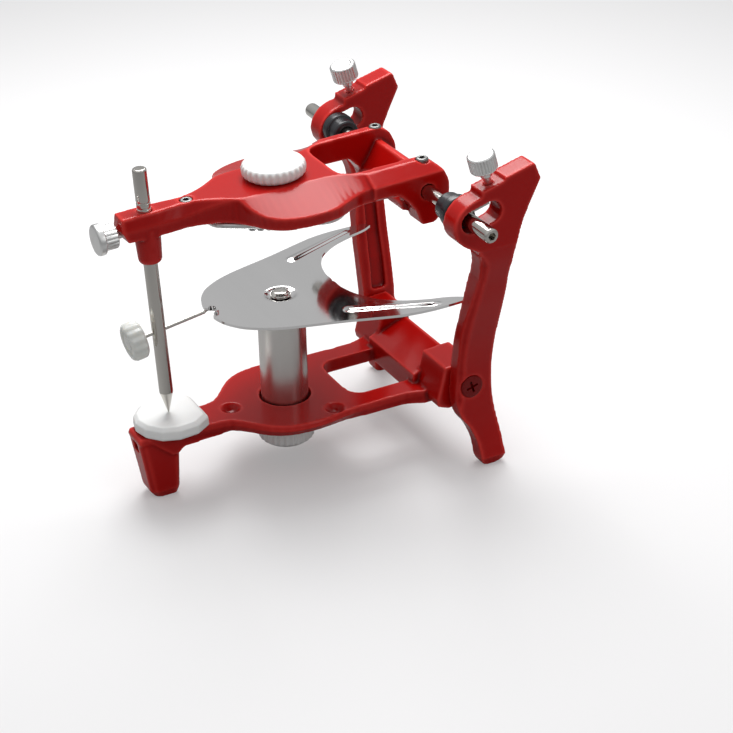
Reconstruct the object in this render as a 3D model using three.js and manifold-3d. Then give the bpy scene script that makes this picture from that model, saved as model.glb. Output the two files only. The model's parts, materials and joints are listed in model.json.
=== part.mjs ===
// Dental articulator: two cast frames joined at a pair of condylar shafts, with an incisal pin
// and its table at the front and an occlusal table on a column in the middle.
// Millimetres, +Z up. The front (incisal pin) is towards -Y, the rear (hinge) towards +Y.
// The origin lies on the ground under the middle of the whole articulator.
import * as THREE from "three";
import { mergeVertices } from "three/addons/utils/BufferGeometryUtils.js";
import Module from "manifold-3d";

const wasm = await Module();
wasm.setup();

// ---------------------------------------------------------------- driving dimensions

// Layout
const PIN_REACH = 110; // hinge axis to incisal pin
const HINGE_HEIGHT = 120.3; // hinge axis above the ground
const UPPER_TILT = 2.36; // degrees that the upper frame leans forward on its pin
const COLUMN_REACH = 54.2; // hinge axis to the column's axis
const DECK_TOP = 30; // lower frame's top face
const DECK_THICKNESS = 6;

// Clearances
const RUNNING_GAP = 0.1; // round piece that turns or slides in a hole, on the radius
const SEAT_GAP = 0.3; // faces that rest on each other

// Condylar shafts and rings
const SHAFT_RADIUS = 3.1;
const SHAFT_TIP = 76.5; // outer tip from the mid-plane
const SHAFT_ROOT = 18.5; // inner end inside the arm
const SHAFT_SOCKET_RADIUS = 1.7;
const SHAFT_SOCKET_DEPTH = 5;
const RING_FLANGE_RADIUS = 7;
const RING_BODY_RADIUS = 5.9;
const RING_FLANGE_WIDTH = 4.6;
const RING_BODY_WIDTH = 5.2;
const RING_HUB_WIDTH = 4.6;

// Side posts
const HEAD_OUTER = 62; // outer face of the head from the mid-plane
const HEAD_WIDTH = 9.5;
const HEAD_FRONT = 7.6; // front of the rim around the slot before the hinge axis
const SLOT_TRAVEL = 9;
const SLOT_SLOPE = 15.7; // degrees, rising to the rear
const HEAD_REAR = 31; // rear corner of the head behind the hinge axis
const HEAD_TOP = 139.4; // top of the head at its rear
const HEAD_EDGE = 2.4; // chamfer of the rim around the slot
const SHELF_RISE = 10; // thumb screw's shelf above the slot's centre line
const SHELF_START = 7.6; // front end of that shelf along the slot
const SHELF_LENGTH = 10.4;
const POST_FRONT = 4.2; // leg's front face behind the hinge axis
const POST_REAR = 19.7;
const POST_WAIST_INNER = 37.6; // narrowest place between the legs, at the joining screw
const POST_THICKNESS = 8;
const CHAMFER_WIDTH = 4.6; // of the leg's front outer edge
const REAR_CHAMFER = 1.3;
const FOOT_OUTER = 52.5;
const FOOT_INNER = 43;
const POST_SCREW_HEIGHT = 37;
const POST_SCREW_BEHIND = 10; // behind the hinge axis
const POST_SCREW_HEAD_RADIUS = 5;
const POST_SCREW_RADIUS = 2.2;
const POST_SCREW_LENGTH = 22;
const STRIP_THICKNESS = 1.2;
const STRIP_WIDTH = 4;
const SHAFT_STRIP_GAP = 0.35;
const SLOT_RADIUS = SHAFT_RADIUS + STRIP_THICKNESS + SHAFT_STRIP_GAP;

// Thumb screws
const THUMB_HEAD_RADIUS = 5.6;
const THUMB_HEAD_HEIGHT = 7.2;
const THUMB_SHANK_RADIUS = 1.6;
const THUMB_SHANK_LENGTH = 10.2;
const THUMB_STANDOFF = 6; // shank showing between the head and the casting
const FRONT_FLANGE_RADIUS = 6.3;
const FRONT_FLANGE_WIDTH = 3.2;
const FRONT_BARREL_RADIUS = 5;
const FRONT_BARREL_LENGTH = 5.4;
const FRONT_SHANK_RADIUS = 1.75;
const KNURL_TEETH = 16;
const KNURL_DEPTH = 0.35;

// Lower frame
const LEG_FOOT_FRONT = PIN_REACH + 9; // front of the front foot before the hinge axis
const LEG_FOOT_REAR = PIN_REACH - 4;
const LEG_FRONT = PIN_REACH + 13; // front of the deck before the hinge axis
const LEG_HALF_WIDTH = 6.5;
const WINDOW_HALF_WIDTH = 16;
const WINDOW_FRONT = 30.3; // front edge of the lower window before the hinge axis
const WINDOW_CORNER = 8;
const BRIDGE_FRONT = 3.4; // front edge of the rear bridge before the hinge axis
const BRIDGE_RISE = 7;
const BRIDGE_REAR = 15;
const LUG_TOP = 44;
const LUG_INNER = 18;
const DIMPLE_RADIUS = 4.6;
const DIMPLE_CIRCLE = 25; // dimples' distance from the column's axis

// Column, occlusal table and lower knob
const COLUMN_RADIUS = 10;
const COLUMN_SEAT_DEPTH = 2.5;
const COLUMN_SEAT_GAP = 0.8;
const TABLE_TOP = 76.8;
const TABLE_THICKNESS = 1.2;
const TABLE_SCREW_HEAD_RADIUS = 4.2;
const TABLE_SCREW_RADIUS = 1.9;
const TABLE_RIB_HEIGHT = 0.8;
const STUD_RADIUS = 2.9;
const LOWER_KNOB_RADIUS = 12;
const LOWER_KNOB_BOTTOM = 9;
const LOWER_KNOB_HEIGHT = 8;
const KNOB_NECK_RADIUS = 6.5;

// Upper frame, measured from the hinge axis
const UPPER_TOP = 11.5;
const UPPER_BOTTOM = 1.2;
const BAR_FRONT = PIN_REACH + 11; // front end of the bar before the hinge axis
const ARM_INNER = 17;
const ARM_RIDGE = 20.8; // outer edge of the arm's flat top
const ARM_EDGE = 7.4; // lower edge of the arm's slanted side
const ARM_OUTER = 27.5;
const OPENING_FRONT = 32.4; // front edge of the upper opening before the hinge axis
const OPENING_CORNER = 8;
const PIN_BOSS_RADIUS = 5.5;
const PIN_BOSS_BOTTOM = 10.7; // below the hinge axis
const SET_SCREW_RADIUS = 2.6;
const SET_SCREW_LENGTH = 6;
const SET_SCREW_SOCKET_RADIUS = 1.3;
const SET_SCREW_BEHIND = 1.9;
const SET_SCREW_SIDE = 19.8;
const FRONT_SET_SCREW = 92.6; // before the hinge axis

// Incisal pin, pointer and incisal table
const PIN_RADIUS = 2.85;
const PIN_TOP = 28.9; // above the hinge axis
const PIN_TIP = 79.5; // below the hinge axis
const PIN_POINT_LENGTH = 9;
const POINTER_RADIUS = 0.8;
const POINTER_AT_PIN = 41.8; // below the hinge axis, on the pin's axis
const POINTER_SLOPE = 6.94; // degrees to the upper frame, rising to the rear
const POINTER_REAR = PIN_REACH - 87.9; // tip behind the pin's axis, just before the occlusal table
const POINTER_FRONT = 7.1; // knob's rear face before the pin's axis
const POINTER_KNOB_RADIUS = 8.1;
const POINTER_KNOB_WIDTH = 7.4;
const POINTER_TRAVEL_GAP = 0.25;
const INCISAL_TABLE_REAR = PIN_REACH - 17; // straight rear edge before the hinge axis

// Upper knob and mounting plate
const KNOB_RADIUS = 13.1;
const KNOB_HEIGHT = 6.2;
const KNOB_LOBES = 18;
const PLATE_THICKNESS = 2.6;
const PLATE_CORNER_CIRCLE = 20.6;
const PLATE_CORNER_RADIUS = 11.5;
const PLATE_BOW = 12.9; // how far each side bulges past the corners' half circle
const PLATE_DOME_RADIUS = 6;
const PLATE_BOSS_RADIUS = 4.35;
const PLATE_RIB_LENGTH = 20;
const PLATE_RIB_WIDTH = 5;
const PLATE_RIB_TEETH = 6;
const PLATE_TOOTH_HALF = 1.1; // half width of a tooth

// The rearmost corner and the front thumb screw are equally far from the origin.
const radians = THREE.MathUtils.degToRad;
const FRONT_SCREW_FACE = BAR_FRONT + 1.6 + FRONT_BARREL_LENGTH + FRONT_FLANGE_WIDTH;
const FRONT_REACH = FRONT_SCREW_FACE * Math.cos(radians(UPPER_TILT)) +
  (PIN_BOSS_RADIUS + FRONT_FLANGE_RADIUS) * Math.sin(radians(UPPER_TILT));
const HINGE_Y = (FRONT_REACH - HEAD_REAR) / 2;

// ---------------------------------------------------------------- materials

const finish = (color, roughness, metalness) =>
  new THREE.MeshStandardMaterial({ color, roughness, metalness });
const RED = finish(0xb81c1a, 0.25, 0.1);
const STEEL = finish(0xc4c2bd, 0.25, 1);
const BRUSHED = finish(0xa9a7a3, 0.45, 1);
const BRIGHT = finish(0xd6d6d6, 0.3, 1);
const ZINC = finish(0x9a9a98, 0.5, 0.9);
const BLACK = finish(0x1c1c1e, 0.5, 0);
const DARK_STEEL = finish(0x3a3a3c, 0.45, 0.9);
const WHITE = finish(0xf0f0ee, 0.45, 0);

// ---------------------------------------------------------------- solid modelling helpers

function toSolid(geometry) {
  const loose = geometry.index ? geometry.toNonIndexed() : geometry;
  const bare = new THREE.BufferGeometry().setAttribute("position", loose.getAttribute("position"));
  const merged = mergeVertices(bare, 1e-4);
  return new wasm.Manifold(new wasm.Mesh({
    numProp: 3,
    vertProperties: merged.attributes.position.array,
    triVerts: new Uint32Array(merged.index.array),
  }));
}

function toGeometry(solid) {
  const mesh = solid.getMesh();
  const vertices = new Float32Array(mesh.numVert * 3);
  for (let i = 0; i < mesh.numVert; i++) {
    vertices.set(mesh.vertProperties.subarray(i * mesh.numProp, i * mesh.numProp + 3), i * 3);
  }
  const geometry = new THREE.BufferGeometry();
  geometry.setAttribute("position", new THREE.BufferAttribute(vertices, 3));
  geometry.setIndex(new THREE.BufferAttribute(mesh.triVerts, 1));
  geometry.computeVertexNormals();
  return geometry;
}

const join = (first, ...others) =>
  toGeometry(others.reduce((sum, one) => sum.add(toSolid(one)), toSolid(first)));
const cut = (base, ...tools) =>
  toGeometry(tools.reduce((left, one) => left.subtract(toSolid(one)), toSolid(base)));
const common = (first, ...others) =>
  toGeometry(others.reduce((both, one) => both.intersect(toSolid(one)), toSolid(first)));

// Box between two opposite corners.
function block([x0, y0, z0], [x1, y1, z1]) {
  const box = new THREE.BoxGeometry(x1 - x0, y1 - y0, z1 - z0);
  return box.translate((x0 + x1) / 2, (y0 + y1) / 2, (z0 + z1) / 2);
}

// Turned piece on the Z axis: profile of [radius, height] from the bottom of the axis to the top.
function turned(profile, segments = 32) {
  const points = profile.map(([r, z]) => new THREE.Vector2(r, z));
  return new THREE.LatheGeometry(points, segments).rotateX(Math.PI / 2);
}

// Turns a piece on +Z to point along a direction, and moves it to a place.
function aim(geometry, direction, place = [0, 0, 0]) {
  const turn = new THREE.Quaternion().setFromUnitVectors(
    new THREE.Vector3(0, 0, 1), new THREE.Vector3(...direction).normalize());
  return geometry.applyQuaternion(turn).translate(...place);
}

// Round rod from one point to another.
function rod(radius, from, to, segments = 24) {
  const along = new THREE.Vector3(...to).sub(new THREE.Vector3(...from));
  const length = along.length();
  const profile = [[0, 0], [radius, 0], [radius, length], [0, length]];
  return aim(turned(profile, segments), along.toArray(), from);
}

// Shape from straight corners; a corner given as [a, b, r] is rounded with radius r.
function outline(corners) {
  const shape = new THREE.Shape();
  const count = corners.length;
  corners.forEach(([a, b, radius = 0], i) => {
    const here = new THREE.Vector2(a, b);
    const before = new THREE.Vector2(...corners[(i + count - 1) % count]);
    const after = new THREE.Vector2(...corners[(i + 1) % count]);
    const entry = here.clone().add(before.sub(here).setLength(radius));
    const exit = here.clone().add(after.sub(here).setLength(radius));
    if (i === 0) shape.moveTo(entry.x, entry.y);
    else shape.lineTo(entry.x, entry.y);
    if (radius > 0) shape.quadraticCurveTo(here.x, here.y, exit.x, exit.y);
  });
  shape.closePath();
  return shape;
}

// Slab from an outline in X and Y, between two heights, with an optional bevel inside it.
function slab(shape, bottom, top, bevel = 0, curveSegments = 8) {
  const options = bevel > 0
    ? { bevelEnabled: true, bevelThickness: bevel, bevelSize: bevel, bevelOffset: -bevel, bevelSegments: 1 }
    : { bevelEnabled: false };
  const depth = top - bottom - 2 * bevel;
  const geometry = new THREE.ExtrudeGeometry(shape, { depth, curveSegments, ...options });
  return geometry.translate(0, 0, bottom + bevel);
}

const SIDEWAYS = new THREE.Matrix4().makeBasis(
  new THREE.Vector3(0, 1, 0), new THREE.Vector3(0, 0, 1), new THREE.Vector3(1, 0, 0));
const FRONTWAYS = new THREE.Matrix4().makeBasis(
  new THREE.Vector3(1, 0, 0), new THREE.Vector3(0, 0, 1), new THREE.Vector3(0, -1, 0));

// Slab from an outline in Y and Z, between two places on X.
const sideSlab = (shape, from, to, bevel = 0) => slab(shape, from, to, bevel).applyMatrix4(SIDEWAYS);
// Slab from an outline in X and Z, between two places on Y.
const frontSlab = (shape, from, to, bevel = 0) => slab(shape, -to, -from, bevel).applyMatrix4(FRONTWAYS);

// Ruled solid through rings of equally many points, from the bottom ring up. A point's own height
// comes before its ring's.
function ruled(levels) {
  const count = levels[0].ring.length;
  const positions = levels.flatMap(({ ring, z }) => ring.flatMap(([x, y, own]) => [x, y, own ?? z]));
  const faces = [];
  for (let level = 0; level + 1 < levels.length; level++) {
    for (let i = 0; i < count; i++) {
      const next = (i + 1) % count;
      const low = level * count;
      const high = low + count;
      faces.push(low + i, low + next, high + next, low + i, high + next, high + i);
    }
  }
  const cap = ({ ring }) =>
    THREE.ShapeUtils.triangulateShape(ring.map(([x, y]) => new THREE.Vector2(x, y)), []);
  cap(levels[0]).forEach(([a, b, c]) => faces.push(a, c, b));
  const top = (levels.length - 1) * count;
  cap(levels[levels.length - 1]).forEach(([a, b, c]) => faces.push(top + a, top + b, top + c));
  const geometry = new THREE.BufferGeometry();
  geometry.setAttribute("position", new THREE.Float32BufferAttribute(positions, 3));
  geometry.setIndex(faces);
  return geometry;
}

// Closed ring from the right-hand half of an outline, listed from the front to the rear.
function mirrored(half) {
  const left = half.filter(([x]) => x > 0).map(([x, ...rest]) => [-x, ...rest]).reverse();
  return [...half, ...left];
}

// Smooth line through [x, y] or [x, y, z] points, with the points themselves on it.
function smooth(points, steps = 2) {
  const curve = new THREE.CatmullRomCurve3(
    points.map(([x, y, z = 0]) => new THREE.Vector3(x, y, z)), false, "centripetal");
  const flat = points[0].length < 3;
  const line = [];
  for (let i = 0; i <= (points.length - 1) * steps; i++) {
    const { x, y, z } = curve.getPoint(i / ((points.length - 1) * steps));
    line.push(flat ? [x, y] : [x, y, z]);
  }
  return line;
}

// Round outline with shallow grooves around its rim.
function knurled(radius, teeth, depth) {
  const points = [];
  for (let i = 0; i < teeth * 2; i++) {
    const angle = Math.PI * i / teeth;
    const r = i % 2 ? radius - depth : radius;
    points.push(new THREE.Vector2(r * Math.cos(angle), r * Math.sin(angle)));
  }
  return new THREE.Shape(points);
}

const mirrorX = (geometry) => {
  const flipped = geometry.clone().applyMatrix4(new THREE.Matrix4().makeScale(-1, 1, 1));
  const loose = flipped.index ? flipped.toNonIndexed() : flipped;
  const position = loose.getAttribute("position");
  const p = position.array;
  for (let i = 0; i < p.length; i += 9) {
    for (let k = 0; k < 3; k++) [p[i + 3 + k], p[i + 6 + k]] = [p[i + 6 + k], p[i + 3 + k]];
  }
  return loose;
};

// ---------------------------------------------------------------- scene graph

const articulator = new THREE.Group();
const lower = new THREE.Group(); // origin on the ground under the hinge axis
lower.position.set(0, HINGE_Y, 0);
const upper = new THREE.Group(); // origin on the hinge axis, leaning with the upper frame
upper.position.set(0, HINGE_Y, HINGE_HEIGHT);
upper.rotation.x = radians(UPPER_TILT);
articulator.add(lower, upper);

function add(group, name, geometry, material) {
  const mesh = new THREE.Mesh(geometry, material);
  mesh.name = name;
  group.add(mesh);
}

// ---------------------------------------------------------------- lower frame

const BOSS_RADIUS = COLUMN_RADIUS + 3;
const BOSS_BOTTOM = DECK_TOP - DECK_THICKNESS - 0.6;
const LUG_OUTER = POST_WAIST_INNER - SEAT_GAP;

// Plan of the deck: half outlines of its bottom, its widest level and its top.
function deckPlan(inset) {
  const half = [
    [0, -LEG_FRONT + inset],
    [LEG_HALF_WIDTH - inset * 0.3, -LEG_FRONT + inset],
    [7.4 - inset * 0.5, -PIN_REACH - 2],
    [8 - inset * 0.5, -PIN_REACH + 10],
    [8.5 - inset * 0.5, -PIN_REACH + 20],
    [10 - inset * 0.6, -83],
    [17 - inset, -76.5],
    [23 - inset, -71],
    [27 - inset, -64],
    [28.4 - inset, -56],
    [28.2 - inset, -46],
    [26.6 - inset * 0.8, -38],
    [26 - inset * 0.4, -28],
    [26 - inset * 0.3, -10],
    [28, -3],
  ];
  const rear = [[28, BRIDGE_REAR - 1], [0, BRIDGE_REAR - 1]];
  return mirrored([...half.slice(0, 2), ...smooth(half.slice(2)), ...rear]);
}

function lowerFrame() {
  const deck = ruled([
    { ring: deckPlan(3.4), z: DECK_TOP - DECK_THICKNESS },
    { ring: deckPlan(0), z: DECK_TOP - 2.2 },
    { ring: deckPlan(0.8), z: DECK_TOP },
  ]);
  const leg = ruled([
    { ring: mirrored([[0, -LEG_FOOT_FRONT + 2.5], [3.2, -LEG_FOOT_FRONT + 2.5],
      [4.6, -LEG_FOOT_FRONT + 4.5], [4.6, -LEG_FOOT_REAR - 2], [3.2, -LEG_FOOT_REAR - 0.8],
      [0, -LEG_FOOT_REAR - 0.8]]), z: 0 },
    { ring: mirrored([[0, -LEG_FOOT_FRONT], [4.4, -LEG_FOOT_FRONT], [6, -LEG_FOOT_FRONT + 2],
      [6, -LEG_FOOT_REAR - 1.5], [4.4, -LEG_FOOT_REAR], [0, -LEG_FOOT_REAR]]), z: 3.5 },
    { ring: mirrored([[0, -LEG_FRONT], [5.4, -LEG_FRONT], [LEG_HALF_WIDTH, -LEG_FRONT + 2],
      [LEG_HALF_WIDTH, -LEG_FOOT_REAR - 0.5], [5.4, -LEG_FOOT_REAR + 1],
      [0, -LEG_FOOT_REAR + 1]]), z: DECK_TOP - 1 },
  ]);
  const gusset = sideSlab(outline([
    [-LEG_FOOT_REAR, 20], [-LEG_FOOT_REAR + 2.5, 22.2], [-LEG_FOOT_REAR + 24, 23.2],
    [-LEG_FOOT_REAR + 30, 24.5], [-LEG_FOOT_REAR + 30, DECK_TOP - 1],
    [-LEG_FRONT + 4, DECK_TOP - 1], [-LEG_FOOT_REAR - 3, 20]]), -7, 7);
  const bridge = sideSlab(outline([
    [-BRIDGE_FRONT, DECK_TOP - 3], [-BRIDGE_FRONT, DECK_TOP + 4],
    [BRIDGE_REAR - 1, DECK_TOP + 4 + BRIDGE_RISE], [BRIDGE_REAR + 1, DECK_TOP + 7],
    [BRIDGE_REAR + 1, DECK_TOP], [2, DECK_TOP - 5]]), -LUG_INNER - 2, LUG_INNER + 2);
  const lug = sideSlab(outline([
    [-1.5, DECK_TOP - 1], [2.3, LUG_TOP - 0.5], [BRIDGE_REAR, LUG_TOP + 0.5],
    [BRIDGE_REAR + 2, DECK_TOP + 4], [BRIDGE_REAR - 3, DECK_TOP - 4], [4, DECK_TOP - 6],
    [-1, DECK_TOP - 4]]), LUG_INNER, LUG_OUTER);
  const seatBoss = rod(BOSS_RADIUS,
    [0, -COLUMN_REACH, BOSS_BOTTOM], [0, -COLUMN_REACH, DECK_TOP - 1], 32);
  const body = join(deck, leg, gusset, bridge, lug, mirrorX(lug), seatBoss);

  const window = slab(outline([
    [-WINDOW_HALF_WIDTH, -WINDOW_FRONT, WINDOW_CORNER],
    [WINDOW_HALF_WIDTH, -WINDOW_FRONT, WINDOW_CORNER],
    [WINDOW_HALF_WIDTH, -BRIDGE_FRONT, 1.5], [-WINDOW_HALF_WIDTH, -BRIDGE_FRONT, 1.5]]), 0, DECK_TOP + 3);
  const seat = rod(COLUMN_RADIUS + COLUMN_SEAT_GAP, [0, -COLUMN_REACH, DECK_TOP - COLUMN_SEAT_DEPTH],
    [0, -COLUMN_REACH, DECK_TOP + 1], 40);
  const studHole = rod(STUD_RADIUS + 0.3, [0, -COLUMN_REACH, 0], [0, -COLUMN_REACH, DECK_TOP], 20);
  const dimples = [90, 210, 330].map((degrees) => {
    const angle = radians(degrees);
    const dish = [[0, -2.6], [DIMPLE_RADIUS * 0.45, -2.2], [DIMPLE_RADIUS, 0.2], [0, 0.2]];
    const x = DIMPLE_CIRCLE * Math.cos(angle);
    const y = -COLUMN_REACH - DIMPLE_CIRCLE * Math.sin(angle);
    return turned(dish, 20).translate(x, y, DECK_TOP);
  });
  const clipPocket = block([-2.4, -LEG_FRONT - 1, 22], [2.4, -LEG_FRONT + 3.5, 26.5]);
  const holeEnd = POST_WAIST_INNER + POST_THICKNESS - POST_SCREW_LENGTH - 2;
  const screwHoles = [1, -1].map((side) => rod(POST_SCREW_RADIUS + RUNNING_GAP,
    [side * (LUG_OUTER + 1), POST_SCREW_BEHIND, POST_SCREW_HEIGHT],
    [side * holeEnd, POST_SCREW_BEHIND, POST_SCREW_HEIGHT], 20));
  return cut(body, window, seat, studHole, clipPocket, ...dimples, ...screwHoles);
}
add(lower, "lower_frame", lowerFrame(), RED);

// ---------------------------------------------------------------- side posts

const HEAD_INNER = HEAD_OUTER - HEAD_WIDTH;
const SLOT_DIRECTION = [0, Math.cos(radians(SLOT_SLOPE)), Math.sin(radians(SLOT_SLOPE))];
const alongSlot = (distance, rise = 0) => [
  distance * SLOT_DIRECTION[1] - rise * SLOT_DIRECTION[2],
  HINGE_HEIGHT + distance * SLOT_DIRECTION[2] + rise * SLOT_DIRECTION[1],
];

// Outline of a post from the side, in Y and Z.
function postSide() {
  const shape = new THREE.Shape();
  shape.moveTo(15, 0);
  shape.lineTo(19.5, 0);
  shape.quadraticCurveTo(23, 0.5, 23.4, 4);
  shape.splineThru([[22.6, 14], [20.4, 28], [POST_REAR, 40], [POST_REAR, 60], [19.8, 80], [19.8, 99],
    [21.5, 110], [24, 118]].map((p) => new THREE.Vector2(...p)));
  shape.lineTo(HEAD_REAR - 3.6, 125);
  shape.lineTo(HEAD_REAR, HEAD_TOP - 7);
  shape.lineTo(HEAD_REAR - 2.6, HEAD_TOP - 0.6);
  shape.quadraticCurveTo(HEAD_REAR - 3.2, HEAD_TOP, HEAD_REAR - 4, HEAD_TOP - 0.2);
  const shelf = [SHELF_START + SHELF_LENGTH, SHELF_START].map((along) => alongSlot(along, SHELF_RISE));
  shape.lineTo(...alongSlot(SHELF_START + SHELF_LENGTH + 0.8, SHELF_RISE + 1));
  shape.lineTo(...shelf[0]);
  shape.lineTo(...shelf[1]);
  shape.lineTo(shelf[1][0] - 0.3, shelf[1][1] - 2.4);
  shape.quadraticCurveTo(-2.4, HINGE_HEIGHT + 8.4, -5.6, HINGE_HEIGHT + 4.2);
  shape.quadraticCurveTo(-HEAD_FRONT - 1, HINGE_HEIGHT, -HEAD_FRONT, HINGE_HEIGHT - 4);
  shape.quadraticCurveTo(-HEAD_FRONT + 1.2, HINGE_HEIGHT - 8, -1.6, HINGE_HEIGHT - 11);
  shape.lineTo(2.4, HINGE_HEIGHT - 13);
  shape.quadraticCurveTo(6.6, 103, 6.8, 92);
  shape.splineThru([[5.4, 80], [4.4, 70], [POST_FRONT - 0.2, 60], [POST_FRONT, 44], [3.6, 31], [5, 23.5],
    [8.6, 18], [11.2, 11], [12, 4]].map((p) => new THREE.Vector2(...p)));
  shape.quadraticCurveTo(12.4, 0.4, 15, 0);
  return shape;
}

// Outline of the right-hand post from the front, in X and Z.
function postFront() {
  const inner = [[FOOT_INNER, 4], [41.4, 12], [39, 22], [POST_WAIST_INNER, 31], [POST_WAIST_INNER, 43],
    [38.6, 50], [40.8, 60], [43.6, 70], [45.6, 80], [47.6, 90], [50.4, 98]];
  const outer = [[60.6, 100], [57.4, 90], [54.6, 80], [51.4, 70], [48.5, 60], [46.4, 50],
    [POST_WAIST_INNER + POST_THICKNESS, 42], [POST_WAIST_INNER + POST_THICKNESS, 32], [47, 20], [50.2, 8]];
  const shape = new THREE.Shape();
  shape.moveTo(FOOT_INNER + 1.5, 0);
  shape.lineTo(FOOT_INNER, 4);
  shape.splineThru(inner.slice(1).map((p) => new THREE.Vector2(...p)));
  shape.lineTo(HEAD_INNER, 106);
  shape.lineTo(HEAD_INNER, HEAD_TOP + 1);
  shape.lineTo(HEAD_OUTER, HEAD_TOP + 1);
  shape.lineTo(HEAD_OUTER, 107);
  shape.splineThru(outer.map((p) => new THREE.Vector2(...p)));
  shape.lineTo(FOOT_OUTER - 1, 4);
  shape.lineTo(FOOT_OUTER - 2.5, 0);
  shape.closePath();
  return shape;
}

function slotCutter(radius, from, to) {
  const ends = [alongSlot(0), alongSlot(SLOT_TRAVEL)];
  const barrel = ([y, z]) => rod(radius, [from, y, z], [to, y, z], 32);
  const [[y0, z0], [y1, z1]] = ends;
  const up = (k) => [-k * SLOT_DIRECTION[2] * radius, k * SLOT_DIRECTION[1] * radius];
  const middle = outline([
    [y0 + up(-1)[0], z0 + up(-1)[1]], [y1 + up(-1)[0], z1 + up(-1)[1]],
    [y1 + up(1)[0], z1 + up(1)[1]], [y0 + up(1)[0], z0 + up(1)[1]]]);
  return join(barrel(ends[0]), sideSlab(middle, from, to), barrel(ends[1]));
}

// Bar of triangular section along the leg's front outer edge, cut away from each post.
function frontChamfer() {
  const levels = [[26, 5.2, 47.6], [31, 3.4, 46.4], [44, 4.2, 46.4], [60, 4, 49.2], [70, 4.4, 52.2],
    [80, 5.4, 55.6], [92, 6.8, 59.2], [99, 6.8, 61.6], [104, 6.2, 62.8]];
  return ruled(levels.map(([z, y, x], i) => {
    const size = i === 0 || i === levels.length - 1 ? 2.5 : CHAMFER_WIDTH;
    return { z, ring: [[x - size, y - 2], [x + 2, y - 2], [x + 2, y + size * 1.15]] };
  }));
}

// Narrower bar along the leg's rear outer edge.
function rearChamfer() {
  const levels = [[3, 23.6, 51.8], [14, 22.8, 49], [28, 20.6, 46.3], [40, POST_REAR, 45.8],
    [60, POST_REAR, 48.7], [80, 19.9, 54.8], [99, 19.9, 60.6], [110, 21.7, 62.2], [118, 24.2, 62.2],
    [125, 27.6, 62.2], [132, HEAD_REAR + 0.2, 62.2]];
  return ruled(levels.map(([z, y, x]) =>
    ({ z, ring: [[x - REAR_CHAMFER, y + 1], [x + 1, y - REAR_CHAMFER], [x + 1, y + 1]] })));
}

// Wedge that takes the outer edge off the rim around the front of the slot.
function rimChamfer() {
  const angles = [-150, -180, -210, -235].map(radians);
  const at = (angle, radius) => [radius * Math.cos(angle), HINGE_HEIGHT - 1 + radius * Math.sin(angle)];
  const ring = (radius, x) => [...angles.map((angle) => [x, ...at(angle, radius)]),
    ...[...angles].reverse().map((angle) => [x, ...at(angle, radius + 8)])];
  const levels = [{ r: 7, x: HEAD_OUTER + 0.5 }, { r: 7 + HEAD_EDGE + 0.8, x: HEAD_OUTER - HEAD_EDGE }];
  const rings = levels.map(({ r, x }) => ({ z: x, ring: ring(r, x).map(([, y, z]) => [y, z]) })).reverse();
  return ruled(rings).applyMatrix4(SIDEWAYS);
}

const THUMB_ALONG = SHELF_START + SHELF_LENGTH / 2; // thumb screw's place along the slot
const THUMB_X = (HEAD_INNER + HEAD_OUTER) / 2;
const THUMB_DIRECTION = [0, -SLOT_DIRECTION[2], SLOT_DIRECTION[1]];

function sidePost() {
  const body = common(sideSlab(postSide(), FOOT_INNER - 10, HEAD_OUTER + 4, 0),
    frontSlab(postFront(), -HEAD_FRONT - 5, HEAD_REAR + 5));
  const slot = slotCutter(SLOT_RADIUS, HEAD_INNER - 2, HEAD_OUTER + 2);
  const screwSeat = aim(turned([[0, 0], [POST_SCREW_RADIUS + RUNNING_GAP, 0],
    [POST_SCREW_RADIUS + RUNNING_GAP, POST_THICKNESS],
    [POST_SCREW_HEAD_RADIUS + RUNNING_GAP, POST_THICKNESS + 2.6],
    [POST_SCREW_HEAD_RADIUS + RUNNING_GAP, POST_THICKNESS + 8], [0, POST_THICKNESS + 8]], 28),
  [1, 0, 0], [POST_WAIST_INNER - 3, POST_SCREW_BEHIND, POST_SCREW_HEIGHT]);
  const channel = sideSlab(outline([[8.4, 46, 2], [15.4, 46, 2], [15.8, 92, 2], [10.4, 92, 2]]), 30, 60);
  const channelDepth = frontSlab(outline([[30, 46], [40.2, 46], [42.6, 60], [45.6, 70], [47.6, 80],
    [50, 92], [30, 92]]), 4, 20);
  const thumbHole = rod(THUMB_SHANK_RADIUS + 0.15,
    [THUMB_X, ...alongSlot(THUMB_ALONG, SLOT_RADIUS - 1)],
    [THUMB_X, ...alongSlot(THUMB_ALONG, SHELF_RISE + 6)], 20);
  return cut(body, slot, screwSeat, common(channel, channelDepth), thumbHole,
    frontChamfer(), rearChamfer(), rimChamfer());
}

const post = sidePost();
add(lower, "side_post_right", post, RED);
add(lower, "side_post_left", mirrorX(post), RED);

// Countersunk joining screw with a cross recess, through the post into the lug.
function postScrew() {
  const head = POST_WAIST_INNER - 3 + POST_THICKNESS + 2.6;
  const body = aim(turned([[0, 0], [POST_SCREW_RADIUS, 0], [POST_SCREW_RADIUS, POST_SCREW_LENGTH - 2.8],
    [POST_SCREW_HEAD_RADIUS - 0.05, POST_SCREW_LENGTH],
    [POST_SCREW_HEAD_RADIUS - 0.05, POST_SCREW_LENGTH + 0.6],
    [0, POST_SCREW_LENGTH + 0.6]], 28), [1, 0, 0],
  [head - POST_SCREW_LENGTH + 0.2, POST_SCREW_BEHIND, POST_SCREW_HEIGHT]);
  const y = POST_SCREW_BEHIND;
  const bars = [[2.6, 0.5], [0.5, 2.6]].map(([wide, tall]) =>
    block([head - 1, y - wide, POST_SCREW_HEIGHT - tall], [head + 3, y + wide, POST_SCREW_HEIGHT + tall]));
  return cut(body, ...bars);
}
const joiningScrew = postScrew();
add(lower, "post_screw_right", joiningScrew, RED);
add(lower, "post_screw_left", mirrorX(joiningScrew), RED);

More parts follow.
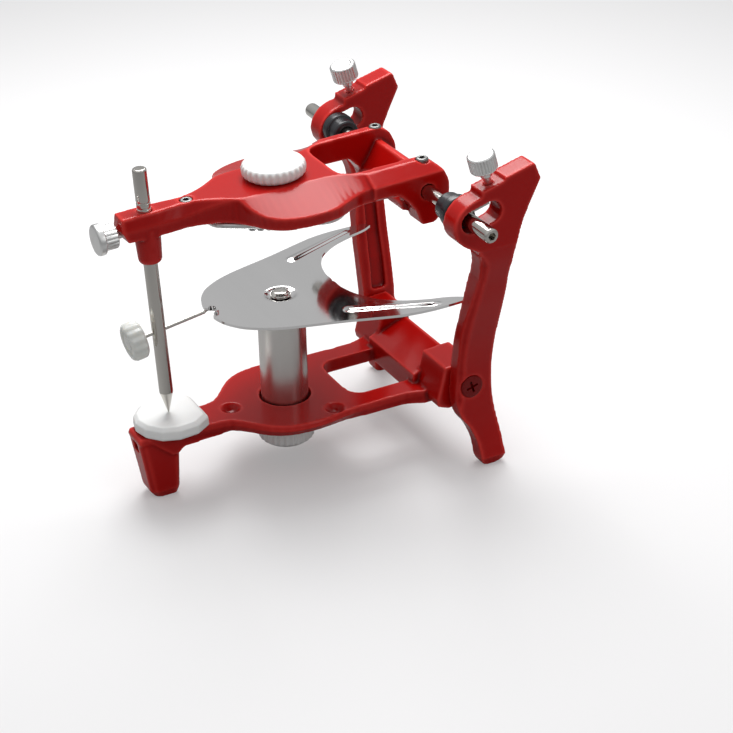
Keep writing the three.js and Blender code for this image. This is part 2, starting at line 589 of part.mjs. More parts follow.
// Steel strip that lines the roof of the slot, in the outer half of the head.
function slotStrip() {
  const low = SLOT_RADIUS - STRIP_THICKNESS;
  const corners = [[1, low], [SLOT_TRAVEL + 0.6, low], [SLOT_TRAVEL + 0.6, SLOT_RADIUS - SEAT_GAP / 2],
    [1, SLOT_RADIUS - SEAT_GAP / 2]].map(([along, rise]) => alongSlot(along, rise));
  return sideSlab(outline(corners), HEAD_OUTER - 1 - STRIP_WIDTH, HEAD_OUTER - 1);
}
const strip = slotStrip();
add(lower, "slot_strip_right", strip, STEEL);
add(lower, "slot_strip_left", mirrorX(strip), STEEL);

// Knurled thumb screw standing on the casting, on +Z from the underside of its head.
function thumbScrew() {
  const head = slab(knurled(THUMB_HEAD_RADIUS, KNURL_TEETH, KNURL_DEPTH), 0, THUMB_HEAD_HEIGHT, 0.4);
  const shank = rod(THUMB_SHANK_RADIUS, [0, 0, -THUMB_SHANK_LENGTH], [0, 0, 0.5], 16);
  const collar = rod(THUMB_SHANK_RADIUS + 1, [0, 0, -1], [0, 0, 0.5], 20);
  return join(head, collar, shank);
}
for (const [side, name] of [[1, "right"], [-1, "left"]]) {
  const place = [side * THUMB_X, ...alongSlot(THUMB_ALONG, SHELF_RISE + THUMB_STANDOFF)];
  add(lower, "head_thumb_screw_" + name, aim(thumbScrew(), THUMB_DIRECTION, place), BRIGHT);
}

// ---------------------------------------------------------------- condylar rings and shafts

const RING_OUTER = HEAD_INNER - SEAT_GAP;
function condylarRing() {
  const bore = SHAFT_RADIUS + RUNNING_GAP;
  const start = RING_OUTER - RING_BODY_WIDTH - RING_FLANGE_WIDTH;
  const flangeStart = start + RING_BODY_WIDTH;
  const hubEnd = RING_OUTER + RING_HUB_WIDTH;
  const hub = SLOT_RADIUS - 0.15;
  const profile = [[bore, start], [RING_BODY_RADIUS, start], [RING_BODY_RADIUS, flangeStart],
    [RING_FLANGE_RADIUS, flangeStart], [RING_FLANGE_RADIUS, RING_OUTER], [hub, RING_OUTER],
    [hub, hubEnd], [bore, hubEnd], [bore, start]];
  return aim(turned(profile, 32), [1, 0, 0], [0, 0, HINGE_HEIGHT]);
}
const ring = condylarRing();
add(lower, "condylar_ring_right", ring, BLACK);
add(lower, "condylar_ring_left", mirrorX(ring), BLACK);

function condylarShaft() {
  const shaft = rod(SHAFT_RADIUS, [SHAFT_ROOT, 0, 0], [SHAFT_TIP, 0, 0], 28);
  const socket = rod(SHAFT_SOCKET_RADIUS, [SHAFT_TIP - SHAFT_SOCKET_DEPTH, 0, 0], [SHAFT_TIP + 1, 0, 0], 6);
  return cut(shaft, socket);
}
const shaft = condylarShaft();
add(upper, "condylar_shaft_right", shaft, STEEL);
add(upper, "condylar_shaft_left", mirrorX(shaft), STEEL);

// ---------------------------------------------------------------- upper frame

// Half outline of the upper frame from the front to the rear, smooth between its two straight ends.
// Each line holds [x, y] of the top face, [x, y, z] of the edge below it and [x, y] of the bottom.
const UPPER_HALF = [
  [[0, -BAR_FRONT], [0, -BAR_FRONT - 1.5, 6.2], [0, -BAR_FRONT + 1.4]],
  [[4.25, -BAR_FRONT], [5.3, -BAR_FRONT - 0.6, 6.2], [4.8, -BAR_FRONT + 1.6]],
  [[4.1, -PIN_REACH + 4], [5.5, -PIN_REACH + 4, 6.2], [5.1, -PIN_REACH + 4]],
  [[3.3, -97], [5.2, -97, 6.2], [4.9, -97]],
  [[3.8, -90.5], [5.7, -91, 7.2], [5.3, -91]],
  [[6.4, -84.3], [8, -84.3, 9], [7.6, -84.4]],
  [[9.6, -79], [10.6, -78.9, 10.4], [11, -78.6]],
  [[12, -75.7], [12.5, -75.7, 11], [15.6, -75.2]],
  [[12.5, -74.4], [15.6, -74.4, 9.6], [19, -73.2]],
  [[12.9, -72.4], [20.2, -72.7, 8], [23.2, -71]],
  [[13.2, -69], [25.2, -70, 7], [27, -67.5]],
  [[13.4, -64], [29.6, -64.4, 6.4], [29.6, -63.6]],
  [[13.4, -57], [32.1, -57, 6.2], [31.6, -56]],
  [[13.3, -49], [32.7, -49, 6.2], [31.9, -48]],
  [[13.4, -42], [31.8, -42, 6.2], [31.2, -42]],
  [[14, -37], [29.4, -36.8, 6.3], [29, -37]],
  [[15.8, -31.5], [27, -31.5, 6.6], [26.6, -31.5]],
  [[18.4, -27], [26, -27, 7], [25.8, -27]],
  [[ARM_RIDGE - 0.2, -22], [26.4, -22, 7.3], [26.2, -22]],
  [[ARM_RIDGE, -12], [ARM_OUTER - 0.4, -12, ARM_EDGE], [ARM_OUTER - 0.6, -12]],
  [[ARM_RIDGE, 3], [ARM_OUTER, 3, ARM_EDGE], [ARM_OUTER, 3]],
  [[0, 3], [0, 3, ARM_EDGE], [0, 3]],
];

// One level of the upper frame's outline, closed around the mid-plane.
function upperLevel(index) {
  const points = UPPER_HALF.map((row) => row[index]);
  return mirrored([points[0], ...smooth(points.slice(1, -1)), points[points.length - 1]]);
}

function upperFrame() {
  const body = ruled([
    { ring: upperLevel(2), z: UPPER_BOTTOM },
    { ring: upperLevel(1) },
    { ring: upperLevel(0), z: UPPER_TOP },
  ]);
  const armSide = outline([[-24, 2.4], [-15, 2.3], [-12.4, 1.2], [-8.5, -3], [-5.5, -7.4], [-3.4, -13.8, 1],
    [3.2, -14.2, 2], [10.4, -2, 3], [9.7, 3.5], [7.6, 8.4, 2], [3, UPPER_TOP], [-24, UPPER_TOP]]);
  const armFront = outline([[ARM_INNER, -16], [ARM_OUTER, -16], [ARM_OUTER, ARM_EDGE],
    [ARM_RIDGE, UPPER_TOP], [ARM_INNER, UPPER_TOP]]);
  const arm = common(sideSlab(armSide, ARM_INNER - 1, ARM_OUTER + 1), frontSlab(armFront, -30, 20));
  const crossbar = sideSlab(outline([
    [-7.5, -9.5], [-3, -11], [7, 2.5], [2.5, 6.6], [0.5, 6.6], [-8, -6.5]]), -ARM_INNER - 2, ARM_INNER + 2);
  const pinBoss = turned([[0, -PIN_BOSS_BOTTOM], [PIN_BOSS_RADIUS - 1.4, -PIN_BOSS_BOTTOM],
    [PIN_BOSS_RADIUS - 0.7, -PIN_BOSS_BOTTOM + 1.2], [PIN_BOSS_RADIUS, UPPER_BOTTOM + 3],
    [0, UPPER_BOTTOM + 3]], 28)
    .translate(0, -PIN_REACH, 0);
  const opening = slab(outline([
    [-ARM_INNER, -OPENING_FRONT, OPENING_CORNER], [ARM_INNER, -OPENING_FRONT, OPENING_CORNER],
    [ARM_INNER, 20], [-ARM_INNER, 20]]), -5, UPPER_TOP + 2);
  const shell = join(cut(body, opening), arm, mirrorX(arm), crossbar, pinBoss);

  const pinHole = rod(PIN_RADIUS + RUNNING_GAP, [0, -PIN_REACH, -20], [0, -PIN_REACH, 20], 28);
  const frontScrewHole = rod(FRONT_SHANK_RADIUS + 0.15, [0, -BAR_FRONT - 5, FRONT_SCREW_RISE],
    [0, -PIN_REACH, FRONT_SCREW_RISE], 20);
  const knobHole = rod(STUD_RADIUS + 0.3, [0, -COLUMN_REACH, -5], [0, -COLUMN_REACH, 20], 20);
  const shaftHoles = [1, -1].map((side) => rod(SHAFT_RADIUS + SEAT_GAP / 2,
    [side * (SHAFT_ROOT - SEAT_GAP), 0, 0], [side * (ARM_OUTER + 2), 0, 0], 28));
  const setScrewHoles = SET_SCREWS.map(([, x, y, top]) =>
    rod(SET_SCREW_RADIUS + SEAT_GAP / 2, [x, y, top - SET_SCREW_LENGTH - SEAT_GAP], [x, y, top + 3], 24));
  return cut(shell, pinHole, frontScrewHole, knobHole, ...shaftHoles, ...setScrewHoles);
}

const FRONT_SCREW_RISE = 4.2; // above the hinge axis
const SET_SCREWS = [
  ["front", 0, -FRONT_SET_SCREW, UPPER_TOP + 0.1],
  ["right", SET_SCREW_SIDE, SET_SCREW_BEHIND, UPPER_TOP + 0.6],
  ["left", -SET_SCREW_SIDE, SET_SCREW_BEHIND, UPPER_TOP + 0.6],
];
add(upper, "upper_frame", upperFrame(), RED);

for (const [name, x, y, top] of SET_SCREWS) {
  const body = rod(SET_SCREW_RADIUS, [x, y, top - SET_SCREW_LENGTH], [x, y, top], 24);
  const socket = rod(SET_SCREW_SOCKET_RADIUS, [x, y, top - 2.5], [x, y, top + 1], 6);
  add(upper, "set_screw_" + name, cut(body, socket), DARK_STEEL);
}

// ---------------------------------------------------------------- incisal pin and its screw

const POINTER_DIRECTION = [0, Math.cos(radians(POINTER_SLOPE)), Math.sin(radians(POINTER_SLOPE))];
const onPointer = (distance) => [0, -PIN_REACH + distance * POINTER_DIRECTION[1],
  -POINTER_AT_PIN + distance * POINTER_DIRECTION[2]];

function incisalPin() {
  const shoulder = -PIN_TIP + PIN_POINT_LENGTH;
  const groove = PIN_RADIUS - 0.25;
  const body = turned([[0, -PIN_TIP], [0.35, -PIN_TIP], [PIN_RADIUS, shoulder], [PIN_RADIUS, 13],
    [groove, 13.3], [groove, 13.7], [PIN_RADIUS, 14], [PIN_RADIUS, PIN_TOP - 0.6],
    [PIN_RADIUS - 0.6, PIN_TOP], [0, PIN_TOP]], 28).translate(0, -PIN_REACH, 0);
  const pointerHole = rod(POINTER_RADIUS + POINTER_TRAVEL_GAP, onPointer(-6), onPointer(6), 16);
  return cut(body, pointerHole);
}
add(upper, "incisal_pin", incisalPin(), STEEL);

add(upper, "pointer_needle",
  rod(POINTER_RADIUS, onPointer(-POINTER_FRONT - 1), onPointer(POINTER_REAR), 14), STEEL);

function pointerKnob() {
  const disc = slab(knurled(POINTER_KNOB_RADIUS, 16, 0.5), 0, POINTER_KNOB_WIDTH, 0.8);
  const hole = rod(POINTER_RADIUS + RUNNING_GAP, onPointer(-POINTER_FRONT - 1.2), onPointer(0), 14);
  return cut(aim(disc, POINTER_DIRECTION.map((v) => -v), onPointer(-POINTER_FRONT)), hole);
}
add(upper, "pointer_knob", pointerKnob(), WHITE);

// Stepped thumb screw that clamps the pin: knurled flange, narrower barrel and threaded shank.
function pinThumbScrew() {
  const barrelStart = BAR_FRONT + 1.5 + SEAT_GAP;
  const flange = slab(knurled(FRONT_FLANGE_RADIUS, KNURL_TEETH + 4, KNURL_DEPTH), FRONT_BARREL_LENGTH,
    FRONT_BARREL_LENGTH + FRONT_FLANGE_WIDTH, 0.4);
  const barrel = slab(knurled(FRONT_BARREL_RADIUS, KNURL_TEETH, KNURL_DEPTH), 0, FRONT_BARREL_LENGTH + 0.5);
  const shankLength = barrelStart - PIN_REACH - PIN_RADIUS - SEAT_GAP;
  const shank = rod(FRONT_SHANK_RADIUS, [0, 0, -shankLength], [0, 0, 1], 20);
  return aim(join(flange, barrel, shank), [0, -1, 0], [0, -barrelStart, FRONT_SCREW_RISE]);
}
add(upper, "pin_thumb_screw", pinThumbScrew(), BRIGHT);

// ---------------------------------------------------------------- upper knob and mounting plate

// Fluted knob on a threaded stud that holds the mounting plate under the upper frame.
function mountingKnob() {
  const bottom = UPPER_TOP + SEAT_GAP;
  const head = slab(knurled(KNOB_RADIUS, KNOB_LOBES, 0.6), bottom, bottom + KNOB_HEIGHT, 1.2);
  const hole = rod(STUD_RADIUS + 0.02, [0, 0, UPPER_TOP - 1], [0, 0, UPPER_TOP + SEAT_GAP + 4], 20);
  return cut(head, hole).translate(0, -COLUMN_REACH, 0);
}
add(upper, "mounting_knob", mountingKnob(), WHITE);
const PLATE_TOP = UPPER_BOTTOM - SEAT_GAP;
add(upper, "mounting_stud", rod(STUD_RADIUS, [0, -COLUMN_REACH, PLATE_TOP + SEAT_GAP / 2],
  [0, -COLUMN_REACH, UPPER_TOP + SEAT_GAP + 3.8], 20), STEEL);

// Rounded triangular plate with bosses, spokes and toothed ribs on its lower face.
function mountingPlate() {
  const corners = [270, 30, 150].map(radians);
  const at = (angle, r) => [r * Math.cos(angle), r * Math.sin(angle)];
  const shape = new THREE.Shape();
  corners.forEach((angle, i) => {
    const [cx, cy] = at(angle, PLATE_CORNER_CIRCLE - 1);
    shape.absarc(cx, cy, PLATE_CORNER_RADIUS, angle - radians(50), angle + radians(50), false);
    const next = corners[(i + 1) % 3];
    const between = (angle + (next > angle ? next : next + 2 * Math.PI)) / 2;
    const [mx, my] = at(between, PLATE_CORNER_CIRCLE / 2 + PLATE_BOW);
    const [nx, ny] = at(next, PLATE_CORNER_CIRCLE - 1);
    const [sx, sy] = at(next - radians(50), PLATE_CORNER_RADIUS);
    shape.quadraticCurveTo(mx, my, nx + sx, ny + sy);
  });
  const plate = slab(shape, -PLATE_THICKNESS, 0, 0.7, 10);
  const low = -PLATE_THICKNESS - 1.6;
  const pieces = [turned([[0, low - 1], [PLATE_DOME_RADIUS * 0.6, low - 0.7],
    [PLATE_DOME_RADIUS, -PLATE_THICKNESS + 0.2], [0, -PLATE_THICKNESS + 0.2]], 24)];
  for (const angle of corners) {
    const [bx, by] = at(angle, PLATE_CORNER_CIRCLE);
    pieces.push(rod(PLATE_BOSS_RADIUS, [bx, by, low], [bx, by, -PLATE_THICKNESS + 0.2], 20));
    const spoke = block([0, -1.15, low + 0.4], [PLATE_CORNER_CIRCLE, 1.15, -PLATE_THICKNESS + 0.2]);
    pieces.push(spoke.rotateZ(angle));
    const middle = angle + Math.PI;
    const teeth = [];
    for (let k = 0; k < PLATE_RIB_TEETH; k++) {
      const y = (k + 0.5) * PLATE_RIB_LENGTH / PLATE_RIB_TEETH - PLATE_RIB_LENGTH / 2;
      teeth.push(block([-PLATE_RIB_WIDTH / 2, y - PLATE_TOOTH_HALF, low - 0.3],
        [PLATE_RIB_WIDTH / 2, y + PLATE_TOOTH_HALF, low + 1]));
    }
    const rib = join(block([-PLATE_RIB_WIDTH / 2, -PLATE_RIB_LENGTH / 2, low + 0.6],
      [PLATE_RIB_WIDTH / 2, PLATE_RIB_LENGTH / 2, -PLATE_THICKNESS + 0.2]), ...teeth);
    pieces.push(rib.translate(PLATE_CORNER_CIRCLE - 3.4, 0, 0).rotateZ(middle));
  }
  return join(plate, ...pieces).translate(0, -COLUMN_REACH, PLATE_TOP);
}
add(upper, "upper_mounting_plate", mountingPlate(), ZINC);

// ---------------------------------------------------------------- column, table and lower knob

const columnBase = DECK_TOP - COLUMN_SEAT_DEPTH + SEAT_GAP;
const columnTop = TABLE_TOP - TABLE_THICKNESS - SEAT_GAP / 2;
function supportColumn() {
  const body = rod(COLUMN_RADIUS, [0, -COLUMN_REACH, columnBase], [0, -COLUMN_REACH, columnTop], 40);
  const footHole = rod(STUD_RADIUS + RUNNING_GAP,
    [0, -COLUMN_REACH, columnBase - 1], [0, -COLUMN_REACH, columnBase + 10], 20);
  const topHole = rod(TABLE_SCREW_RADIUS + RUNNING_GAP,
    [0, -COLUMN_REACH, columnTop - 11], [0, -COLUMN_REACH, columnTop + 1], 16);
  return cut(body, footHole, topHole);
}
add(lower, "support_column", supportColumn(), BRUSHED);

// Flat sheet with a notch at the front, two wings to the rear and a raised rib on each wing.
function occlusalTable() {
  const half = [[0, -82.8], [2.4, -82.8], [3, -85.3], [5, -86.3], [11.6, -84.5], [17.7, -80.8], [21.2, -77],
    [23.9, -72.7], [27.5, -65.3], [29.8, -58], [31.6, -51], [34, -43], [37, -34.5], [39.6, -27], [42, -19],
    [43.3, -12], [43.4, -2], [43, 7], [40.6, 9.6], [37.4, 4], [34.4, -5.5], [30.6, -14], [25, -21.4],
    [19.6, -25.4], [13.5, -28.2], [7, -29.8], [0, -30.5]];
  const points = mirrored(half).map((p) => new THREE.Vector2(...p));
  const sheet = slab(new THREE.Shape(points), TABLE_TOP - TABLE_THICKNESS, TABLE_TOP);
  const ribs = [1, -1].map((side) => {
    const ribShape = outline([[-2.2, 0, 2], [2.2, 0, 2], [1.6, 34, 1.5], [-1.6, 34, 1.5]]);
    const rib = slab(ribShape, -0.3, TABLE_RIB_HEIGHT, 0.4).rotateZ(-side * radians(22));
    return rib.translate(side * 27, -35, TABLE_TOP);
  });
  const hole = rod(TABLE_SCREW_RADIUS + SEAT_GAP,
    [0, -COLUMN_REACH, TABLE_TOP - 5], [0, -COLUMN_REACH, TABLE_TOP + 5], 16);
  return cut(join(sheet, ...ribs), hole);
}
add(lower, "occlusal_table", occlusalTable(), STEEL);

function tableScrew() {
  const bottom = TABLE_TOP + SEAT_GAP / 2;
  const body = turned([[0, bottom - 9], [TABLE_SCREW_RADIUS, bottom - 9], [TABLE_SCREW_RADIUS, bottom],
    [TABLE_SCREW_HEAD_RADIUS, bottom], [TABLE_SCREW_HEAD_RADIUS * 0.85, bottom + 1.2],
    [0, bottom + 1.7]], 24).translate(0, -COLUMN_REACH, 0);
  const slot = block([-TABLE_SCREW_HEAD_RADIUS, -COLUMN_REACH - 0.45, bottom + 0.7],
    [TABLE_SCREW_HEAD_RADIUS, -COLUMN_REACH + 0.45, bottom + 3]);
  return cut(body, slot);
}
add(lower, "table_screw", tableScrew(), STEEL);

function columnKnob() {
  const top = LOWER_KNOB_BOTTOM + LOWER_KNOB_HEIGHT;
  const head = slab(knurled(LOWER_KNOB_RADIUS, KNOB_LOBES, 0.6), LOWER_KNOB_BOTTOM, top, 1);
  const neck = rod(KNOB_NECK_RADIUS, [0, 0, top - 1], [0, 0, BOSS_BOTTOM - SEAT_GAP], 28);
  const hole = rod(STUD_RADIUS + 0.02, [0, 0, LOWER_KNOB_BOTTOM + 3], [0, 0, DECK_TOP], 20);
  return cut(join(head, neck), hole).translate(0, -COLUMN_REACH, 0);
}
add(lower, "column_knob", columnKnob(), WHITE);
add(lower, "column_stud", rod(STUD_RADIUS, [0, -COLUMN_REACH, LOWER_KNOB_BOTTOM + 3.3],
  [0, -COLUMN_REACH, columnBase + 9], 20), STEEL);

// ---------------------------------------------------------------- incisal table

const INCISAL_TABLE_TOP = HINGE_HEIGHT - PIN_TIP * Math.cos(radians(UPPER_TILT)) -
  PIN_REACH * Math.sin(radians(UPPER_TILT)) - 0.15;
const INCISAL_TABLE_MIDDLE = 2.5 - PIN_REACH;
function incisalTable() {
  const bottom = DECK_TOP + SEAT_GAP;
  const ring = (inset) => {
    const k = 1 - inset / 15;
    const half = [[0, -PIN_REACH - 11.8], [6.5, -PIN_REACH - 10.2], [12.4, -PIN_REACH - 5.2],
      [15, -PIN_REACH + 2], [14.2, -PIN_REACH + 10.4], [10, -INCISAL_TABLE_REAR - 0.4],
      [8.4, -INCISAL_TABLE_REAR], [0, -INCISAL_TABLE_REAR]];
    return mirrored(half.map(([x, y]) => [x * k, INCISAL_TABLE_MIDDLE + (y - INCISAL_TABLE_MIDDLE) * k]));
  };
  return ruled([
    { ring: ring(1), z: bottom },
    { ring: ring(0), z: bottom + 1 },
    { ring: ring(0.2), z: INCISAL_TABLE_TOP - 1.6 },
    { ring: ring(2), z: INCISAL_TABLE_TOP },
  ]);
}
add(lower, "incisal_table", incisalTable(), WHITE);

export default articulator;
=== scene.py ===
"""Looks of a dental articulator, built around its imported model.

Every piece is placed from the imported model: the hinge, pin and screw directions come from its
joints, and the castings start from its solids. Sizes are in millimetres until a mesh is made.
"""
from __future__ import annotations

import json
import logging
import math
from dataclasses import dataclass, field
from enum import Enum

import bmesh
import bpy
import numpy as np
from mathutils import Matrix, Vector

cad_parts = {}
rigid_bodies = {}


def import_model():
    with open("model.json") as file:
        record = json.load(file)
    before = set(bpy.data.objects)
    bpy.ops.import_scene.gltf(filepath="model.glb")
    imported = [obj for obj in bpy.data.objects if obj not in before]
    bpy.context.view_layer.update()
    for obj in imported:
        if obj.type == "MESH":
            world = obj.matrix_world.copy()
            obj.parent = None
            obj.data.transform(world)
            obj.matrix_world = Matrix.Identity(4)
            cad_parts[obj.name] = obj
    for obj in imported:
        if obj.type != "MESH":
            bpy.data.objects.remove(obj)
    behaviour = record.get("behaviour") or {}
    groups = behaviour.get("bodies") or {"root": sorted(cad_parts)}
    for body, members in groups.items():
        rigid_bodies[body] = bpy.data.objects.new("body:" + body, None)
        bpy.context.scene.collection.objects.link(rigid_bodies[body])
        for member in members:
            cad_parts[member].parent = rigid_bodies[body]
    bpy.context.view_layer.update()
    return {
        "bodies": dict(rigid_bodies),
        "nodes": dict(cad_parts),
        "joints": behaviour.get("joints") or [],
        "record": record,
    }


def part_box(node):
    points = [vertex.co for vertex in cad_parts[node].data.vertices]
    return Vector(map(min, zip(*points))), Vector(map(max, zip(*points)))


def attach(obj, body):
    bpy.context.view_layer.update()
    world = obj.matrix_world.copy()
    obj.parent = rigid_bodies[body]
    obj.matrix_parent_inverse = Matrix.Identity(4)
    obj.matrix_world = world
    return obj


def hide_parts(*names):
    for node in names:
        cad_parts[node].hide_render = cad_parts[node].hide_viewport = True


MM = 0.001
LOG = logging.getLogger("articulator")
SOFT_SHARP = 50.0  # degrees; a knurled or fluted piece stays smooth up to this bend

Corner = tuple[float, ...]
Colour = tuple[float, float, float]


# ---------------------------------------------------------------- shader groups and materials


class Board:
    """Adds and links nodes in one node tree."""

    def __init__(self, tree: bpy.types.NodeTree) -> None:
        """Starts on an empty copy of the tree."""
        self.tree = tree
        tree.nodes.clear()

    def add(self, kind: str, settings: dict[str, object] | None = None, **inputs: object) -> bpy.types.Node:
        """Adds a node.

        Args:
            kind: type name of the node.
            settings: properties of the node itself.
            **inputs: values or output sockets by input name, with _ for a space.

        Returns:
            The new node.
        """
        node = self.tree.nodes.new(kind)
        for key, value in (settings or {}).items():
            setattr(node, key, value)
        for key, value in inputs.items():
            self.feed(node, key.replace("_", " "), value)
        return node

    def feed(self, node: bpy.types.Node, name: str | int, value: object) -> None:
        """Sets one input of a node to a value, or links an output socket to it."""
        socket = node.inputs[name]
        if isinstance(value, bpy.types.NodeSocket):
            self.tree.links.new(value, socket)
        else:
            socket.default_value = value

    def maths(self, operation: str, *values: object, clamp: bool = False) -> bpy.types.NodeSocket:
        """Adds a Math node and returns its output."""
        node = self.tree.nodes.new("ShaderNodeMath")
        node.operation = operation
        node.use_clamp = clamp
        for index, value in enumerate(values):
            self.feed(node, index, value)
        return node.outputs[0]

    def mix(self, amount: object, low: object, high: object) -> bpy.types.NodeSocket:
        """Mixes two colours and returns the result."""
        node = self.tree.nodes.new("ShaderNodeMix")
        node.data_type = "RGBA"
        self.feed(node, 0, amount)
        self.feed(node, 6, low)
        self.feed(node, 7, high)
        return node.outputs[2]

    def spread(self, value: object, low: float, high: float) -> bpy.types.NodeSocket:
        """Maps a 0..1 value to low..high and returns the result."""
        node = self.tree.nodes.new("ShaderNodeMapRange")
        self.feed(node, "Value", value)
        node.inputs["To Min"].default_value = low
        node.inputs["To Max"].default_value = high
        return node.outputs[0]


def shader_group(name: str, inputs: dict[str, tuple[str, object]], outputs: dict[str, str]) -> tuple:
    """Makes an empty shader group.

    Args:
        name: the group's name.
        inputs: socket type and default value by input name.
        outputs: socket type by output name.

    Returns:
        The group's tree, a Board on it, its Group Input node and its Group Output node.
    """
    tree = bpy.data.node_groups.new(name, "ShaderNodeTree")
    for label, (kind, default) in inputs.items():
        socket = tree.interface.new_socket(name=label, in_out="INPUT", socket_type=kind)
        socket.default_value = default
    for label, kind in outputs.items():
        tree.interface.new_socket(name=label, in_out="OUTPUT", socket_type=kind)
    board = Board(tree)
    return tree, board, board.add("NodeGroupInput"), board.add("NodeGroupOutput")


class Effects:
    """Shader groups that several materials share."""

    def __init__(self) -> None:
        """Builds each group once."""
        self.grain = self._grain()
        self.brushing = self._brushing()
        # Masks for the painted edge highlight and the painted corner shade.
        self.edges = self._highlight_and_shade_masks()

    @staticmethod
    def _grain() -> bpy.types.NodeTree:
        """Uneven surface: broad cloudy tone and fine height, in Object coordinates."""
        tree, board, start, end = shader_group(
            "surface_grain",
            {"Cloud Scale": ("NodeSocketFloat", 40.0), "Fine Scale": ("NodeSocketFloat", 900.0)},
            {"Cloud": "NodeSocketFloat", "Height": "NodeSocketFloat"},
        )
        where = board.add("ShaderNodeTexCoord").outputs["Object"]
        cloud = board.add("ShaderNodeTexNoise", Vector=where, Scale=start.outputs["Cloud Scale"], Detail=3.0)
        fine = board.add("ShaderNodeTexNoise", Vector=where, Scale=start.outputs["Fine Scale"], Detail=2.0)
        height = board.maths("ADD", board.maths("MULTIPLY", cloud.outputs[0], 0.6),
                             board.maths("MULTIPLY", fine.outputs[0], 0.4))
        board.feed(end, "Cloud", cloud.outputs[0])
        board.feed(end, "Height", height)
        return tree

    @staticmethod
    def _brushing() -> bpy.types.NodeTree:
        """Fine lines from turning or drawing: noise stretched along the lines."""
        tree, board, start, end = shader_group(
            "brush_lines",
            {"Stretch": ("NodeSocketVector", (1.0, 1.0, 1.0)), "Scale": ("NodeSocketFloat", 800.0)},
            {"Lines": "NodeSocketFloat", "Streaks": "NodeSocketFloat"},
        )
        where = board.add("ShaderNodeTexCoord").outputs["Object"]
        along = board.add("ShaderNodeMapping", Vector=where, Scale=start.outputs["Stretch"])
        lines = board.add("ShaderNodeTexNoise", Vector=along.outputs[0], Scale=start.outputs["Scale"],
                          Detail=3.0)
        wide = board.add("ShaderNodeTexNoise", Vector=along.outputs[0],
                         Scale=board.maths("MULTIPLY", start.outputs["Scale"], 0.16), Detail=2.0)
        board.feed(end, "Lines", lines.outputs[0])
        board.feed(end, "Streaks", wide.outputs[0])
        return tree

    @staticmethod
    def _highlight_and_shade_masks() -> bpy.types.NodeTree:
        """Masks for a painted highlight on outer edges and painted shade in inner corners, from the attribute
        that castings carry.
        """
        tree, board, start, end = shader_group(
            "edge_masks",
            {"Gain": ("NodeSocketFloat", 1.0)},
            {"Edge": "NodeSocketFloat", "Hollow": "NodeSocketFloat"},
        )
        bend = board.add("ShaderNodeAttribute", {"attribute_name": "bend"}).outputs["Fac"]
        gain = start.outputs["Gain"]
        # Points that stand out get the painted edge highlight; sunken points get the painted corner shade.
        out = board.maths("MULTIPLY", board.maths("SUBTRACT", bend, 0.5), gain, clamp=True)
        corner_shade_mask = board.maths("MULTIPLY", board.maths("SUBTRACT", 0.5, bend), gain, clamp=True)
        board.feed(end, "Edge", out)
        board.feed(end, "Hollow", corner_shade_mask)
        return tree


@dataclass(frozen=True)
class Finish:
    """One surface finish.

    Attributes:
        name: the material's name.
        slot: the record's material slot; not used.
        colour: main colour, linear.
        second: colour of the cloudy patches.
        metallic: 0 or 1.
        roughness: lowest and highest roughness.
        bump: height of the surface texture in millimetres.
        cloud_scale: size of the cloudy patches, per metre.
        fine_scale: size of the fine grain, per metre.
        stretch: stretch of the brush lines, or None for none.
        line_scale: density of the brush lines, per metre.
        edge: lighter colour on outer edges, a painted highlight, or None.
        hollow: darker colour in inner corners, a painted shade, or None.
        subsurface: weight of the light that passes through.
        shine: specular level, where 0.5 is common plastic.
    """

    name: str
    slot: str
    colour: Colour
    second: Colour
    metallic: float = 0.0
    roughness: tuple[float, float] = (0.3, 0.4)
    bump: float = 0.01
    cloud_scale: float = 40.0
    fine_scale: float = 900.0
    stretch: Colour | None = None
    line_scale: float = 800.0
    edge: Colour | None = None
    hollow: Colour | None = None
    subsurface: float = 0.0
    shine: float = 0.5

    def build(self, effects: Effects) -> bpy.types.Material:
        """Makes the material.

        Args:
            effects: the shared shader groups.

        Returns:
            The new material.
        """
        material = bpy.data.materials.new(self.name)
        material.use_nodes = True
        board = Board(material.node_tree)
        output = board.add("ShaderNodeOutputMaterial")
        shader = board.add("ShaderNodeBsdfPrincipled", Metallic=self.metallic)
        board.feed(output, "Surface", shader.outputs[0])
        shader.inputs["Specular IOR Level"].default_value = self.shine
        if self.subsurface:
            shader.inputs["Subsurface Weight"].default_value = self.subsurface
            shader.inputs["Subsurface Radius"].default_value = (1.0, 0.9, 0.8)
            shader.inputs["Subsurface Scale"].default_value = 0.004
        grain = board.add("ShaderNodeGroup", {"node_tree": effects.grain},
                          Cloud_Scale=self.cloud_scale, Fine_Scale=self.fine_scale)
        colour = board.mix(grain.outputs["Cloud"], (*self.colour, 1.0), (*self.second, 1.0))
        height = grain.outputs["Height"]
        rough = grain.outputs["Cloud"]
        if self.stretch is not None:
            lines = board.add("ShaderNodeGroup", {"node_tree": effects.brushing},
                              Stretch=self.stretch, Scale=self.line_scale)
            colour = board.mix(lines.outputs["Streaks"], (*self.second, 1.0), (*self.colour, 1.0))
            height = lines.outputs["Lines"]
            rough = lines.outputs["Streaks"]
        # Painted highlight on outer edges and painted shade in inner corners, both from the bend attribute.
        if self.edge is not None or self.hollow is not None:
            masks = board.add("ShaderNodeGroup", {"node_tree": effects.edges}, Gain=2.0)
            if self.edge is not None:
                colour = board.mix(masks.outputs["Edge"], colour, (*self.edge, 1.0))
            if self.hollow is not None:
                colour = board.mix(masks.outputs["Hollow"], colour, (*self.hollow, 1.0))
        board.feed(shader, "Base Color", colour)
        board.feed(shader, "Roughness", board.spread(rough, *self.roughness))
        bump = board.add("ShaderNodeBump", Height=height, Distance=self.bump * MM, Strength=1.0)
        board.feed(shader, "Normal", bump.outputs[0])
        return material
